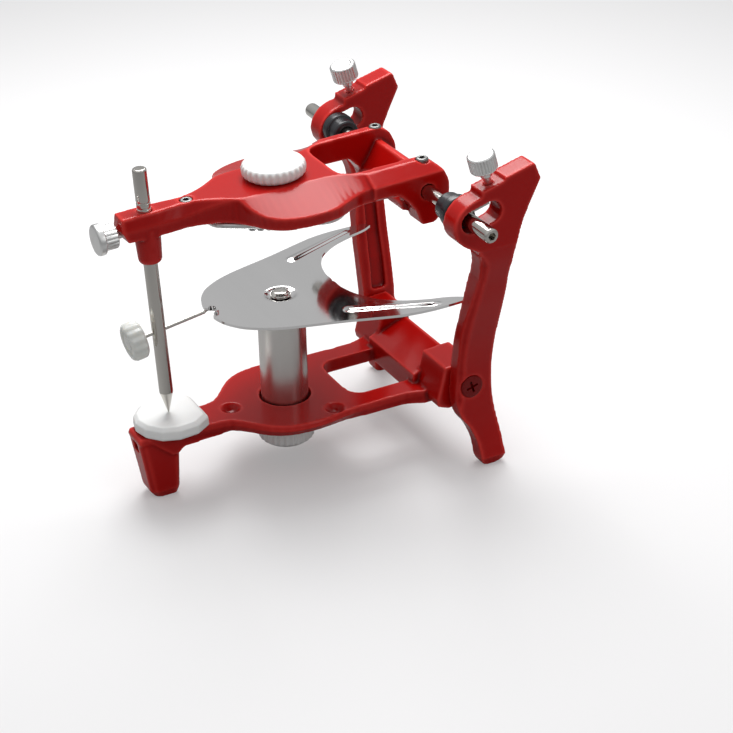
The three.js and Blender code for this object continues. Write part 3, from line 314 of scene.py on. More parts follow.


# Enamel edges: a painted highlight, partly enamel running thin on edges. Enamel corners: painted shade.
ENAMEL = Finish("red_enamel", "red_enamel", (0.40, 0.0035, 0.0025), (0.34, 0.003, 0.002),
                roughness=(0.14, 0.22), bump=0.02, cloud_scale=60.0, fine_scale=420.0,
                edge=(0.62, 0.035, 0.028),
                hollow=(0.16, 0.001, 0.001), shine=0.2)
NICKEL = Finish("nickel_plate", "nickel_steel", (0.74, 0.72, 0.68), (0.40, 0.38, 0.35), metallic=1.0,
                roughness=(0.07, 0.15), bump=0.002, stretch=(1.0, 1.0, 0.02), line_scale=520.0)
MIRROR = Finish("polished_sheet", "nickel_steel", (0.80, 0.79, 0.785), (0.75, 0.745, 0.74), metallic=1.0,
                roughness=(0.05, 0.1), bump=0.0006, stretch=(0.04, 1.0, 1.0), line_scale=700.0)
COLUMN = Finish("brushed_column", "brushed_column", (0.86, 0.84, 0.81), (0.30, 0.285, 0.27), metallic=1.0,
                roughness=(0.18, 0.38), bump=0.014, stretch=(1.0, 1.0, 0.04), line_scale=380.0)
BRIGHT = Finish("bright_aluminium", "bright_aluminium", (0.84, 0.84, 0.83), (0.70, 0.70, 0.69), metallic=1.0,
                roughness=(0.22, 0.36), bump=0.01, fine_scale=1500.0)
# Zinc edges: a painted highlight. Zinc corners: painted shade.
ZINC = Finish("cast_zinc", "cast_zinc", (0.40, 0.40, 0.395), (0.22, 0.22, 0.215), metallic=0.9,
              roughness=(0.25, 0.45), bump=0.06, cloud_scale=120.0, fine_scale=1200.0,
              edge=(0.8, 0.8, 0.79), hollow=(0.06, 0.06, 0.06))
BLACK = Finish("black_ring", "black_ring", (0.010, 0.010, 0.013), (0.02, 0.02, 0.024), roughness=(0.2, 0.34),
               bump=0.01, stretch=(0.05, 1.0, 1.0), line_scale=600.0)
DARK = Finish("black_steel", "black_steel", (0.34, 0.34, 0.33), (0.18, 0.18, 0.18), metallic=1.0,
              roughness=(0.22, 0.4), bump=0.01)
WHITE = Finish("white_plastic", "white_plastic", (0.80, 0.80, 0.79), (0.77, 0.77, 0.76),
               roughness=(0.3, 0.42), bump=0.01, fine_scale=1500.0, subsurface=0.15)
MILKY = Finish("milky_plastic", "milky_plastic", (0.74, 0.75, 0.72), (0.66, 0.67, 0.64),
               roughness=(0.22, 0.36), bump=0.02, fine_scale=800.0, subsurface=0.5)


# ---------------------------------------------------------------- mesh helpers


def filleted(corners: list[Corner], steps: int = 4) -> list[tuple[float, float]]:
    """Rounds the corners of a line.

    Args:
        corners: points (a, b), or (a, b, fillet) where the corner is rounded.
        steps: pieces of each rounding.

    Returns:
        The points of the rounded line.
    """
    points: list[tuple[float, float]] = []
    for index, corner in enumerate(corners):
        here = Vector(corner[:2])
        if len(corner) < 3 or index in (0, len(corners) - 1):
            points.append((here.x, here.y))
            continue
        before = Vector(corners[index - 1][:2]) - here
        after = Vector(corners[index + 1][:2]) - here
        size = min(corner[2], before.length * 0.49, after.length * 0.49)
        start = here + before.normalized() * size
        end = here + after.normalized() * size
        for step in range(steps + 1):
            t = step / steps
            point = start * (1 - t) ** 2 + here * 2 * t * (1 - t) + end * t * t
            points.append((point.x, point.y))
    return points


def piece(name: str, verts: list, faces: list, place: Matrix, sharp: float = 35.0) -> bpy.types.Object:
    """Makes an object from points in millimetres.

    Args:
        name: the object's name.
        verts: points in millimetres, in the piece's own frame.
        faces: lists of point numbers.
        place: where the piece's own frame lies, in metres.
        sharp: edges that bend by more than this angle, in degrees, stay sharp.

    Returns:
        The new object, at the origin.
    """
    mesh = bpy.data.meshes.new(name)
    mesh.from_pydata([tuple(c * MM for c in v) for v in verts], [], faces)
    mesh.update()
    thing = bpy.data.objects.new(name, mesh)
    bpy.context.scene.collection.objects.link(thing)
    mesh.transform(place)
    shade(thing, sharp)
    return thing


def shade(thing: bpy.types.Object, sharp: float = 35.0) -> None:
    """Shades a piece smoothly, with edges that bend more than an angle left sharp."""
    mesh = thing.data
    mesh.polygons.foreach_set("use_smooth", [True] * len(mesh.polygons))
    mesh.set_sharp_from_angle(angle=math.radians(sharp))
    mesh.update()


def turned(name: str, corners: list[Corner], place: Matrix, segments: int = 96,
           closed: bool = False) -> bpy.types.Object:
    """Makes a turned piece on its own Z axis.

    Args:
        name: the object's name.
        corners: (radius, height) or (radius, height, fillet), from the bottom up on the outside.
        place: where the piece's own frame lies, in metres.
        segments: faces around.
        closed: whether the line closes on itself, as around a bore.

    Returns:
        The new object.
    """
    line = filleted(corners)
    verts: list[tuple[float, float, float]] = []
    rows: list[list[int]] = []
    for radius, height in line:
        start = len(verts)
        if radius < 1e-6:
            rows.append([start])
            verts.append((0.0, 0.0, height))
            continue
        rows.append(list(range(start, start + segments)))
        for k in range(segments):
            angle = 2 * math.pi * k / segments
            verts.append((radius * math.cos(angle), radius * math.sin(angle), height))
    if closed:
        rows.append(rows[0])
    faces = []
    for low, high in zip(rows, rows[1:]):
        for i in range(segments):
            j = (i + 1) % segments
            ring = [low[i % len(low)], low[j % len(low)], high[j % len(high)], high[i % len(high)]]
            face = list(dict.fromkeys(ring))
            if len(face) > 2:
                faces.append(face)
    return piece(name, verts, faces, place)


def prism(name: str, outline: list[tuple[float, float]], low: float, high: float,
          place: Matrix) -> bpy.types.Object:
    """Makes a straight prism from an outline in its own X and Y, listed anticlockwise."""
    count = len(outline)
    verts = [(x, y, low) for x, y in outline] + [(x, y, high) for x, y in outline]
    faces = [list(range(count))[::-1], list(range(count, 2 * count))]
    faces += [[i, (i + 1) % count, count + (i + 1) % count, count + i] for i in range(count)]
    return piece(name, verts, faces, place)


def hexagon(radius: float) -> list[tuple[float, float]]:
    """Corners of a regular hexagon, by its radius in millimetres."""
    return [(radius * math.cos(math.pi * k / 3), radius * math.sin(math.pi * k / 3)) for k in range(6)]


def baked(thing: bpy.types.Object) -> bpy.types.Object:
    """Turns an object's modifiers into a plain mesh."""
    bpy.context.view_layer.update()
    graph = bpy.context.evaluated_depsgraph_get()
    mesh = bpy.data.meshes.new_from_object(thing.evaluated_get(graph), preserve_all_data_layers=True,
                                           depsgraph=graph)
    thing.modifiers.clear()
    old = thing.data
    thing.data = mesh
    mesh.name = thing.name
    bpy.data.meshes.remove(old)
    return thing


def carve(base: bpy.types.Object, tool: bpy.types.Object) -> bpy.types.Object:
    """Cuts a tool from a piece and removes the tool."""
    modifier = base.modifiers.new("carve", "BOOLEAN")
    modifier.object = tool
    modifier.operation = "DIFFERENCE"
    modifier.solver = "EXACT"
    baked(base)
    bpy.data.objects.remove(tool)
    return base


def copy_of(node: str, name: str) -> bpy.types.Object:
    """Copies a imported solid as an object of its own, with its loose triangles merged."""
    mesh = bpy.data.objects[node].data.copy()
    mesh.materials.clear()
    shape = bmesh.new()
    shape.from_mesh(mesh)
    bmesh.ops.remove_doubles(shape, verts=shape.verts, dist=1e-6)
    shape.to_mesh(mesh)
    shape.free()
    thing = bpy.data.objects.new(name, mesh)
    bpy.context.scene.collection.objects.link(thing)
    return thing


def write_bend(thing: bpy.types.Object, reach: float) -> None:
    """Stores how far each point stands out of its surroundings, as the attribute bend (0.5 is flat).

    Args:
        thing: a finely meshed piece.
        reach: the stand-out, in millimetres, that counts as a full edge.
    """
    mesh = thing.data
    count = len(mesh.vertices)
    place = np.zeros(count * 3, np.float64)
    mesh.vertices.foreach_get("co", place)
    place = place.reshape(-1, 3)
    normal = np.zeros(count * 3, np.float64)
    mesh.vertices.foreach_get("normal", normal)
    normal = normal.reshape(-1, 3)
    pairs = np.zeros(len(mesh.edges) * 2, np.int64)
    mesh.edges.foreach_get("vertices", pairs)
    a, b = pairs.reshape(-1, 2).T
    links = np.bincount(np.concatenate([a, b]), minlength=count)[:, None]

    def around(values: np.ndarray) -> np.ndarray:
        """Average of the neighbours of each point."""
        total = np.zeros_like(values)
        np.add.at(total, a, values[b])
        np.add.at(total, b, values[a])
        return total / np.maximum(links, 1)

    soft = around(around(around(place)))
    bend = ((place - soft) * normal).sum(1, keepdims=True)
    for _ in range(3):
        bend = 0.5 * bend + 0.5 * around(bend)
    value = np.clip(0.5 + 0.5 * bend[:, 0] / (reach * MM), 0, 1).astype(np.float32)
    attribute = mesh.attributes.new("bend", "FLOAT", "POINT")
    attribute.data.foreach_set("value", value)


def cast_skin(thing: bpy.types.Object, voxel: float, softness: int, reach: float) -> bpy.types.Object:
    """Gives a solid the soft edges of a casting.

    Args:
        thing: closed solids, which may overlap.
        voxel: size of the new faces in millimetres.
        softness: rounds of smoothing.
        reach: see write_bend.

    Returns:
        The same object with its new mesh.
    """
    remesh = thing.modifiers.new("skin", "REMESH")
    remesh.mode = "VOXEL"
    remesh.voxel_size = voxel * MM
    remesh.use_smooth_shade = True
    smooth = thing.modifiers.new("soften", "SMOOTH")
    smooth.factor = 0.5
    smooth.iterations = softness
    baked(thing)
    thing.data.polygons.foreach_set("use_smooth", [True] * len(thing.data.polygons))
    write_bend(thing, reach)
    return thing


def dress(thing: bpy.types.Object, material: bpy.types.Material) -> bpy.types.Object:
    """Gives a piece one material."""
    thing.data.materials.clear()
    thing.data.materials.append(material)
    return thing


# ---------------------------------------------------------------- geometry node trees


class Tree:
    """A Geometry Nodes tree with named size inputs, made in code."""

    def __init__(self, name: str, sizes: dict[str, tuple[str, object]]) -> None:
        """Makes the tree's sockets: a Geometry and a Material input, and one for each size."""
        self.group = bpy.data.node_groups.new(name, "GeometryNodeTree")
        face = self.group.interface
        face.new_socket(name="Geometry", in_out="INPUT", socket_type="NodeSocketGeometry")
        face.new_socket(name="Material", in_out="INPUT", socket_type="NodeSocketMaterial")
        for label, (kind, default) in sizes.items():
            face.new_socket(name=label, in_out="INPUT", socket_type=kind).default_value = default
        face.new_socket(name="Geometry", in_out="OUTPUT", socket_type="NodeSocketGeometry")
        self.board = Board(self.group)
        self.start = self.board.add("NodeGroupInput")
        self.end = self.board.add("NodeGroupOutput")

    def close(self, geometry: bpy.types.NodeSocket) -> None:
        """Ends the tree in Realize Instances and Set Material."""
        real = self.board.add("GeometryNodeRealizeInstances", Geometry=geometry)
        painted = self.board.add("GeometryNodeSetMaterial", Geometry=real.outputs[0],
                                 Material=self.start.outputs["Material"])
        self.board.feed(self.end, "Geometry", painted.outputs[0])

    def apply(self, thing: bpy.types.Object, material: bpy.types.Material,
              **sizes: object) -> bpy.types.Object:
        """Runs the tree on an object and keeps the result as its plain mesh."""
        modifier = thing.modifiers.new(self.group.name, "NODES")
        modifier.node_group = self.group
        by_name = {item.name: item.identifier for item in self.group.interface.items_tree
                   if item.in_out == "INPUT"}
        modifier[by_name["Material"]] = material
        for label, value in sizes.items():
            modifier[by_name[label.replace("_", " ")]] = value
        return baked(thing)


class Flutes(Tree):
    """Presses straight flutes into the rim of a piece turned on its own Z axis."""

    def __init__(self) -> None:
        """Builds the tree: points near the rim move inwards by a wave around the axis."""
        super().__init__("flutes", {
            "Count": ("NodeSocketInt", 24), "Depth": ("NodeSocketFloat", 0.0004),
            "Low": ("NodeSocketFloat", 0.0), "High": ("NodeSocketFloat", 0.01),
            "Inner Radius": ("NodeSocketFloat", 0.004), "Fade": ("NodeSocketFloat", 0.0004),
            "Sharpness": ("NodeSocketFloat", 1.0)})
        board, given = self.board, self.start.outputs
        split = board.add("ShaderNodeSeparateXYZ", Vector=board.add("GeometryNodeInputPosition").outputs[0])
        x, y, z = split.outputs
        radius = board.maths("SQRT", board.maths("ADD", board.maths("MULTIPLY", x, x),
                                                 board.maths("MULTIPLY", y, y)))
        turn = board.maths("MULTIPLY", board.maths("ARCTAN2", y, x), given["Count"])
        wave = board.maths("SUBTRACT", 0.5, board.maths("MULTIPLY", board.maths("COSINE", turn), 0.5))
        groove = board.maths("POWER", wave, given["Sharpness"])
        above = board.maths("DIVIDE", board.maths("SUBTRACT", z, given["Low"]), given["Fade"], clamp=True)
        below = board.maths("DIVIDE", board.maths("SUBTRACT", given["High"], z), given["Fade"], clamp=True)
        outside = board.maths("DIVIDE", board.maths("SUBTRACT", radius, given["Inner Radius"]),
                              given["Fade"], clamp=True)
        mask = board.maths("MULTIPLY", board.maths("MULTIPLY", above, below), outside)
        depth = board.maths("MULTIPLY", board.maths("MULTIPLY", groove, mask), given["Depth"])
        share = board.maths("DIVIDE", board.maths("MULTIPLY", depth, -1.0),
                            board.maths("MAXIMUM", radius, 1e-6))
        offset = board.add("ShaderNodeCombineXYZ", X=board.maths("MULTIPLY", x, share),
                           Y=board.maths("MULTIPLY", y, share))
        moved = board.add("GeometryNodeSetPosition", Geometry=given["Geometry"], Offset=offset.outputs[0])
        self.close(moved.outputs[0])


class Side(Enum):
    """The two sides of the articulator."""

    RIGHT = 1
    LEFT = -1

    @property
    def word(self) -> str:
        """The side's name as it stands in node names."""
        return self.name.lower()


class Places:
    """Frames of reference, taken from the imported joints, in metres."""

    def __init__(self, joints: list[dict]) -> None:
        """Reads the hinge's place and the pin's and pointer's directions."""
        by_name = {joint["name"]: joint for joint in joints}
        self.hinge = Vector(by_name["hinge"]["pos_m"])
        pin_axis = Vector(by_name["pin_slide"]["axis"])
        self.pointer_axis = -Vector(by_name["pointer_slide"]["axis"])
        self.tilt = math.atan2(-pin_axis.y, pin_axis.z)
        self.lower = Matrix.Translation((0.0, self.hinge.y, 0.0))
        self.upper = Matrix.Translation(self.hinge) @ Matrix.Rotation(self.tilt, 4, "X")

    @staticmethod
    def on(frame: Matrix, x: float, y: float, z: float) -> Matrix:
        """A frame moved by millimetres along its own axes."""
        return frame @ Matrix.Translation(Vector((x, y, z)) * MM)

    @staticmethod
    def aimed(place: Vector, direction: Vector) -> Matrix:
        """A frame at a place, in metres, whose Z axis points along a direction."""
        turn = direction.to_track_quat("Z", "Y").to_matrix().to_4x4()
        return Matrix.Translation(place) @ turn


class Shop:
    """What every sub-assembly needs: places, joints, materials and trees."""

    def __init__(self, joints: list[dict]) -> None:
        """Builds the shared effects, materials and trees."""
        self.places = Places(joints)
        self.joints = {joint["child"]: joint for joint in joints}
        effects = Effects()
        self.materials = {finish: finish.build(effects) for finish in
                          (ENAMEL, NICKEL, MIRROR, COLUMN, BRIGHT, ZINC, BLACK, DARK, WHITE, MILKY)}
        self.flutes = Flutes()

    def place(self, thing: bpy.types.Object, finish: Finish, body: str, *nodes: str) -> bpy.types.Object:
        """Dresses a finished piece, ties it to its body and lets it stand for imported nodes."""
        dress(thing, self.materials[finish])
        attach(thing, body)
        if nodes:
            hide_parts(*nodes)
        LOG.info("%s: %d faces, rides on %s", thing.name, len(thing.data.polygons), body)
        return thing


# ---------------------------------------------------------------- sub-assemblies


@dataclass
class Castings:
    """The red enamelled castings: lower frame, side posts and upper frame."""

    shop: Shop
    voxel: float = 0.5
    softness: int = 5
    edge_reach: float = 0.12

    def build(self) -> None:
        """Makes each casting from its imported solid, with soft edges."""
        for node, body in (("lower_frame", "base"), ("side_post_right", "base"), ("side_post_left", "base"),
                           ("upper_frame", "upper_member")):
            skin = cast_skin(copy_of(node, node + "_casting"), self.voxel, self.softness, self.edge_reach)
            self.shop.place(skin, ENAMEL, body, node)


@dataclass
class JoiningScrews:
    """Countersunk cross-head screws, painted with the posts."""

    shop: Shop
    radius: float = 4.9
    cross_length: float = 2.7
    cross_width: float = 1.0
    cross_depth: float = 1.6
    cross_turn: float = 0.3
    shank_radius: float = 2.1

    def build(self) -> None:
        """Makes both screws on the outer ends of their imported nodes."""
        for side in Side:
            node = "post_screw_" + side.word
            low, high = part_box(node)
            face = high.x if side is Side.RIGHT else low.x
            place = Places.aimed(Vector((face, (low.y + high.y) / 2, (low.z + high.z) / 2)),
                                 Vector((side.value, 0.0, 0.0)))
            length = (high.x - low.x) / MM
            shank, r = self.shank_radius, self.radius
            corners = [(0.0, -length), (shank, -length, 0.5), (shank, -3.4, 0.2), (r, -0.7, 0.15),
                       (r, -0.15, 0.2), (r - 0.6, 0.0, 0.2), (0.0, 0.05)]
            screw = turned(node + "_head", corners, place, 64)
            for turn in (self.cross_turn, self.cross_turn + math.pi / 2):
                half, width = self.cross_length, self.cross_width / 2
                arm = prism("cutter", [(-half, -width), (half, -width), (half, width), (-half, width)],
                            -self.cross_depth, 1.0, place @ Matrix.Rotation(turn, 4, "Z"))
                carve(screw, arm)
            shade(screw)
            self.shop.place(screw, ENAMEL, "base", node)


@dataclass
class ThumbScrews:
    """Knurled thumb screws: one on each head and a stepped one on the pin's bar."""

    shop: Shop
    head_radius: float = 5.6
    head_height: float = 7.2
    knurl_count: int = 26
    knurl_depth: float = 0.45
    flange_radius: float = 6.3
    flange_width: float = 3.2
    barrel_radius: float = 5.0
    barrel_length: float = 5.4
    barrel_knurls: int = 18
    shank_radius: float = 1.6
    shank_length: float = 10.2
    pin_shank_radius: float = 1.75

    def build(self) -> None:
        """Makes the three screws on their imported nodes."""
        for side in Side:
            self._head_screw(side)
        self._pin_screw()

    def _knurled(self, name: str, corners: list[Corner], band: tuple[float, float, float],
                 place: Matrix, count: int) -> bpy.types.Object:
        """Turns a piece and presses a knurled band (low, high, inner radius) into it."""
        low, high, inner = band
        screw = turned(name, corners, Matrix.Identity(4), count * 10)
        self.shop.flutes.apply(screw, self.shop.materials[BRIGHT], Count=count,
                               Depth=self.knurl_depth * MM, Low=low * MM, High=high * MM,
                               Inner_Radius=inner * MM, Fade=0.25 * MM, Sharpness=2.0)
        screw.data.transform(place)
        shade(screw, SOFT_SHARP)
        return screw

    def _head_screw(self, side: Side) -> None:
        """Screw on one head, with a small collar under its knurled cap."""
        body, node = "thumb_screw_" + side.word, "head_thumb_screw_" + side.word
        joint = self.shop.joints[body]
        place = Places.aimed(Vector(joint["pos_m"]), Vector(joint["axis"]))
        r, h, shank, end = self.head_radius, self.head_height, self.shank_radius, -self.shank_length
        corners = [(0.0, end), (shank, end, 0.3), (shank, -3.4, 0.1), (2.3, -3.0, 0.3), (2.3, -1.2, 0.3),
                   (1.9, -0.8, 0.2), (1.9, 0.0, 0.1), (r - 0.5, 0.0, 0.3), (r, 0.6, 0.3), (r, 1.0),
                   (r, h - 1.0), (r, h - 0.6, 0.3), (r - 0.7, h, 0.3), (r - 1.6, h, 0.2),
                   (r - 1.9, h - 0.25, 0.2), (0.0, h - 0.25)]
        screw = self._knurled(node + "_turned", corners, (0.5, h - 0.6, r - 0.6), place, self.knurl_count)
        self.shop.place(screw, BRIGHT, body, node)

    def _pin_screw(self) -> None:
        """Screw that clamps the incisal pin: a knurled barrel behind a plain flange."""
        joint = self.shop.joints["pin_screw"]
        low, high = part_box("pin_thumb_screw")
        axis = Vector(joint["axis"])
        start = Vector(joint["pos_m"])
        face = start + axis * ((start.y - low.y) / abs(axis.y))
        place = Places.aimed(face, axis)
        total, step = self.flange_width + self.barrel_length, -self.flange_width
        f, b, shank = self.flange_radius, self.barrel_radius, self.pin_shank_radius
        end = -total - (high.y - low.y) / MM + total + 0.4
        corners = [(0.0, end), (shank, end, 0.3), (shank, -total, 0.1), (b - 0.4, -total, 0.2),
                   (b, -total + 0.4, 0.2), (b, step - 0.1), (f - 0.5, step, 0.2), (f, step + 0.4, 0.2),
                   (f, -0.6, 0.3), (f - 0.6, -0.05, 0.3), (0.0, -0.02)]
        screw = self._knurled("pin_thumb_screw_turned", corners, (-total, step - 0.1, b - 0.6), place,
                              self.barrel_knurls)
        self.shop.place(screw, BRIGHT, "pin_screw", "pin_thumb_screw")


@dataclass
class HingeParts:
    """Condylar shafts, black rings, slot strips and set screws."""

    shop: Shop
    shaft_radius: float = 3.1
    socket_radius: float = 1.7
    socket_depth: float = 5.0
    hub_radius: float = 4.5
    body_radius: float = 5.9
    flange_radius: float = 7.0
    body_end: float = 5.2
    flange_end: float = 9.8
    set_radius: float = 2.6
    set_length: float = 6.0
    set_socket_radius: float = 1.35
    set_socket_depth: float = 3.0
    set_sunk: float = 0.4

    def build(self) -> None:
        """Makes the parts of both sides."""
        for side in Side:
            self._shaft(side)
            self._ring(side)
            self._strip(side)
        for word in ("front", "right", "left"):
            self._set_screw(word)

    def _shaft(self, side: Side) -> None:
        """Polished shaft with a hex socket in its outer end."""
        node = "condylar_shaft_" + side.word
        low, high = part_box(node)
        outward = Vector((side.value, 0.0, 0.0))
        tip = Vector((high.x if side is Side.RIGHT else low.x, *self.shop.places.hinge.yz))
        length = (high.x - low.x) / MM
        place = Places.aimed(tip, outward)
        r = self.shaft_radius
        corners = [(0.0, -length), (r, -length, 0.5), (r, -0.7, 0.5), (r - 0.6, 0.0, 0.15), (0.0, 0.0)]
        shaft = turned(node + "_polished", corners, place, 80)
        carve(shaft, prism("cutter", hexagon(self.socket_radius), -self.socket_depth, 1.0, place))
        shade(shaft)
        self.shop.place(shaft, NICKEL, "upper_member", node)

    def _ring(self, side: Side) -> None:
        """Black flanged ring whose hub runs in the slot."""
        node = "condylar_ring_" + side.word
        low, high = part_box(node)
        inner = low.x if side is Side.RIGHT else high.x
        place = Places.aimed(Vector((inner, *self.shop.places.hinge.yz)), Vector((side.value, 0.0, 0.0)))
        width = (high.x - low.x) / MM
        bore, hub = self.shaft_radius + 0.1, self.hub_radius
        body, flange = self.body_radius, self.flange_radius
        step, seat = self.body_end, self.flange_end
        corners = [(bore, 0.5), (bore + 0.5, 0.0, 0.2), (body - 0.7, 0.0, 0.4), (body, 0.7, 0.5),
                   (body, step - 0.2, 0.3), (body + 0.2, step, 0.15), (flange - 0.6, step, 0.4),
                   (flange, step + 0.6, 0.5), (flange, seat - 0.6, 0.5), (flange - 0.6, seat, 0.3),
                   (hub, seat, 0.1), (hub, width - 0.3, 0.2), (hub - 0.3, width, 0.1),
                   (bore + 0.2, width), (bore, width - 0.2)]
        ring = turned(node + "_turned", corners, place, 96, closed=True)
        self.shop.place(ring, BLACK, "condyles", node)

    def _strip(self, side: Side) -> None:
        """Steel strip on the roof of the slot, with eased edges."""
        node = "slot_strip_" + side.word
        strip = copy_of(node, node + "_polished")
        bevel = strip.modifiers.new("ease", "BEVEL")
        bevel.width = 0.15 * MM
        bevel.segments = 3
        baked(strip)
        shade(strip)
        self.shop.place(strip, NICKEL, "base", node)

    def _set_screw(self, word: str) -> None:
        """Blackened set screw with a hex socket."""
        node = "set_screw_" + word
        low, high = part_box(node)
        up = self.shop.places.upper.to_3x3() @ Vector((0.0, 0.0, 1.0))
        top = Vector(((low.x + high.x) / 2, (low.y + high.y) / 2, high.z)) - up * self.set_sunk * MM
        place = Places.aimed(top, up)
        r, end = self.set_radius, -self.set_length
        corners = [(0.0, end), (r, end, 0.3), (r, -0.5, 0.4), (r - 0.5, 0.0, 0.2), (r - 0.9, 0.0, 0.2),
                   (0.0, -0.15)]
        screw = turned(node + "_turned", corners, place, 64)
        carve(screw, prism("cutter", hexagon(self.set_socket_radius), -self.set_socket_depth, 1.0, place))
        shade(screw)
        self.shop.place(screw, DARK, "upper_member", node)


@dataclass
class PinParts:
    """Incisal pin, pointer needle, pointer knob and incisal table."""

    shop: Shop
    radius: float = 2.85
    point_length: float = 9.5
    grooves: tuple[tuple[float, float], ...] = ((12.2, 13.2), (14.6, 15.5))
    groove_depth: float = 0.35
    needle_radius: float = 0.8
    needle_point: float = 2.2
    knob_radius: float = 8.0
    knob_half: float = 3.7
    knob_flutes: int = 14

    def build(self) -> None:
        """Makes the four pieces."""
        upper = self.shop.places.upper
        low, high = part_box("incisal_pin")
        place = Places.on(upper, 0.0, -self._pin_reach(), 0.0)
        inverse = upper.inverted()
        top = round((inverse @ Vector((0.0, low.y, high.z))).z / MM, 1)
        tip = round((inverse @ Vector((0.0, high.y, low.z))).z / MM, 1)
        r = self.radius
        shoulder = tip + self.point_length
        corners = [(0.0, tip), (0.25, tip + 0.05, 0.1), (r - 0.05, shoulder, 0.3), (r, shoulder + 0.5, 0.2)]
        for start, end in self.grooves:
            corners += [(r, start, 0.1), (r - self.groove_depth, start + 0.2, 0.1),
                        (r - self.groove_depth, end - 0.2, 0.1), (r, end, 0.1)]
        corners += [(r, top - 0.5, 0.4), (r - 0.5, top, 0.2), (0.0, top)]
        pin = turned("incisal_pin_polished", corners, place, 80)
        self.shop.place(pin, NICKEL, "pin", "incisal_pin")
        self._pointer()
        self._table()

    def _pin_reach(self) -> float:
        """Distance from the hinge axis to the pin's axis, in millimetres."""
        low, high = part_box("incisal_pin")
        inverse = self.shop.places.upper.inverted()
        middle = inverse @ Vector((0.0, (low.y + high.y) / 2, (low.z + high.z) / 2))
        return -middle.y / MM

    def _pointer(self) -> None:
        """Straight needle and its milky fluted knob."""
        axis = self.shop.places.pointer_axis.normalized()
        low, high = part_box("pointer_needle")
        rear = Vector((0.0, high.y, high.z)) - Vector((0.0, 0.0, self.needle_radius * MM * axis.y))
        length = (high.y - low.y) / MM / axis.y
        place = Places.aimed(rear, axis)
        n = self.needle_radius
        corners = [(0.0, -length), (n, -length, 0.2), (n, -self.needle_point, 0.2), (0.0, 0.0)]
        needle = turned("pointer_needle_ground", corners, place, 32)
        self.shop.place(needle, NICKEL, "pointer", "pointer_needle")
        low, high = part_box("pointer_knob")
        centre = (low + high) / 2
        place = Places.aimed(centre, -axis)
        r, h = self.knob_radius, self.knob_half
        corners = [(0.0, -h + 1.0), (1.2, -h + 0.9, 0.1), (4.0, -h, 0.3), (4.6, -h + 0.3, 0.3),
                   (r - 1.2, -h + 0.3, 0.5), (r, -h + 1.4, 0.6), (r, h - 1.6), (r - 0.6, h - 0.7, 0.5),
                   (r - 1.6, h - 0.2, 0.4), (r - 2.4, h - 0.2, 0.2), (r - 2.8, h - 1.0, 0.3),
                   (3.2, h - 1.2, 0.3), (2.8, h - 0.4, 0.3), (0.0, h - 0.3)]
        knob = turned("pointer_knob_moulded", corners, Matrix.Identity(4), 160)
        self.shop.flutes.apply(knob, self.shop.materials[MILKY], Count=self.knob_flutes,
                               Depth=0.5 * MM, Low=-h * MM, High=(h - 0.2) * MM,
                               Inner_Radius=(r - 1.4) * MM, Fade=0.8 * MM, Sharpness=1.0)
        knob.data.transform(place)
        shade(knob, SOFT_SHARP)
        self.shop.place(knob, MILKY, "pointer", "pointer_knob")

    def _table(self) -> None:
        """White incisal table with soft moulded edges."""
        table = cast_skin(copy_of("incisal_table", "incisal_table_moulded"), 0.35, 4, 0.1)
        self.shop.place(table, WHITE, "base", "incisal_table")


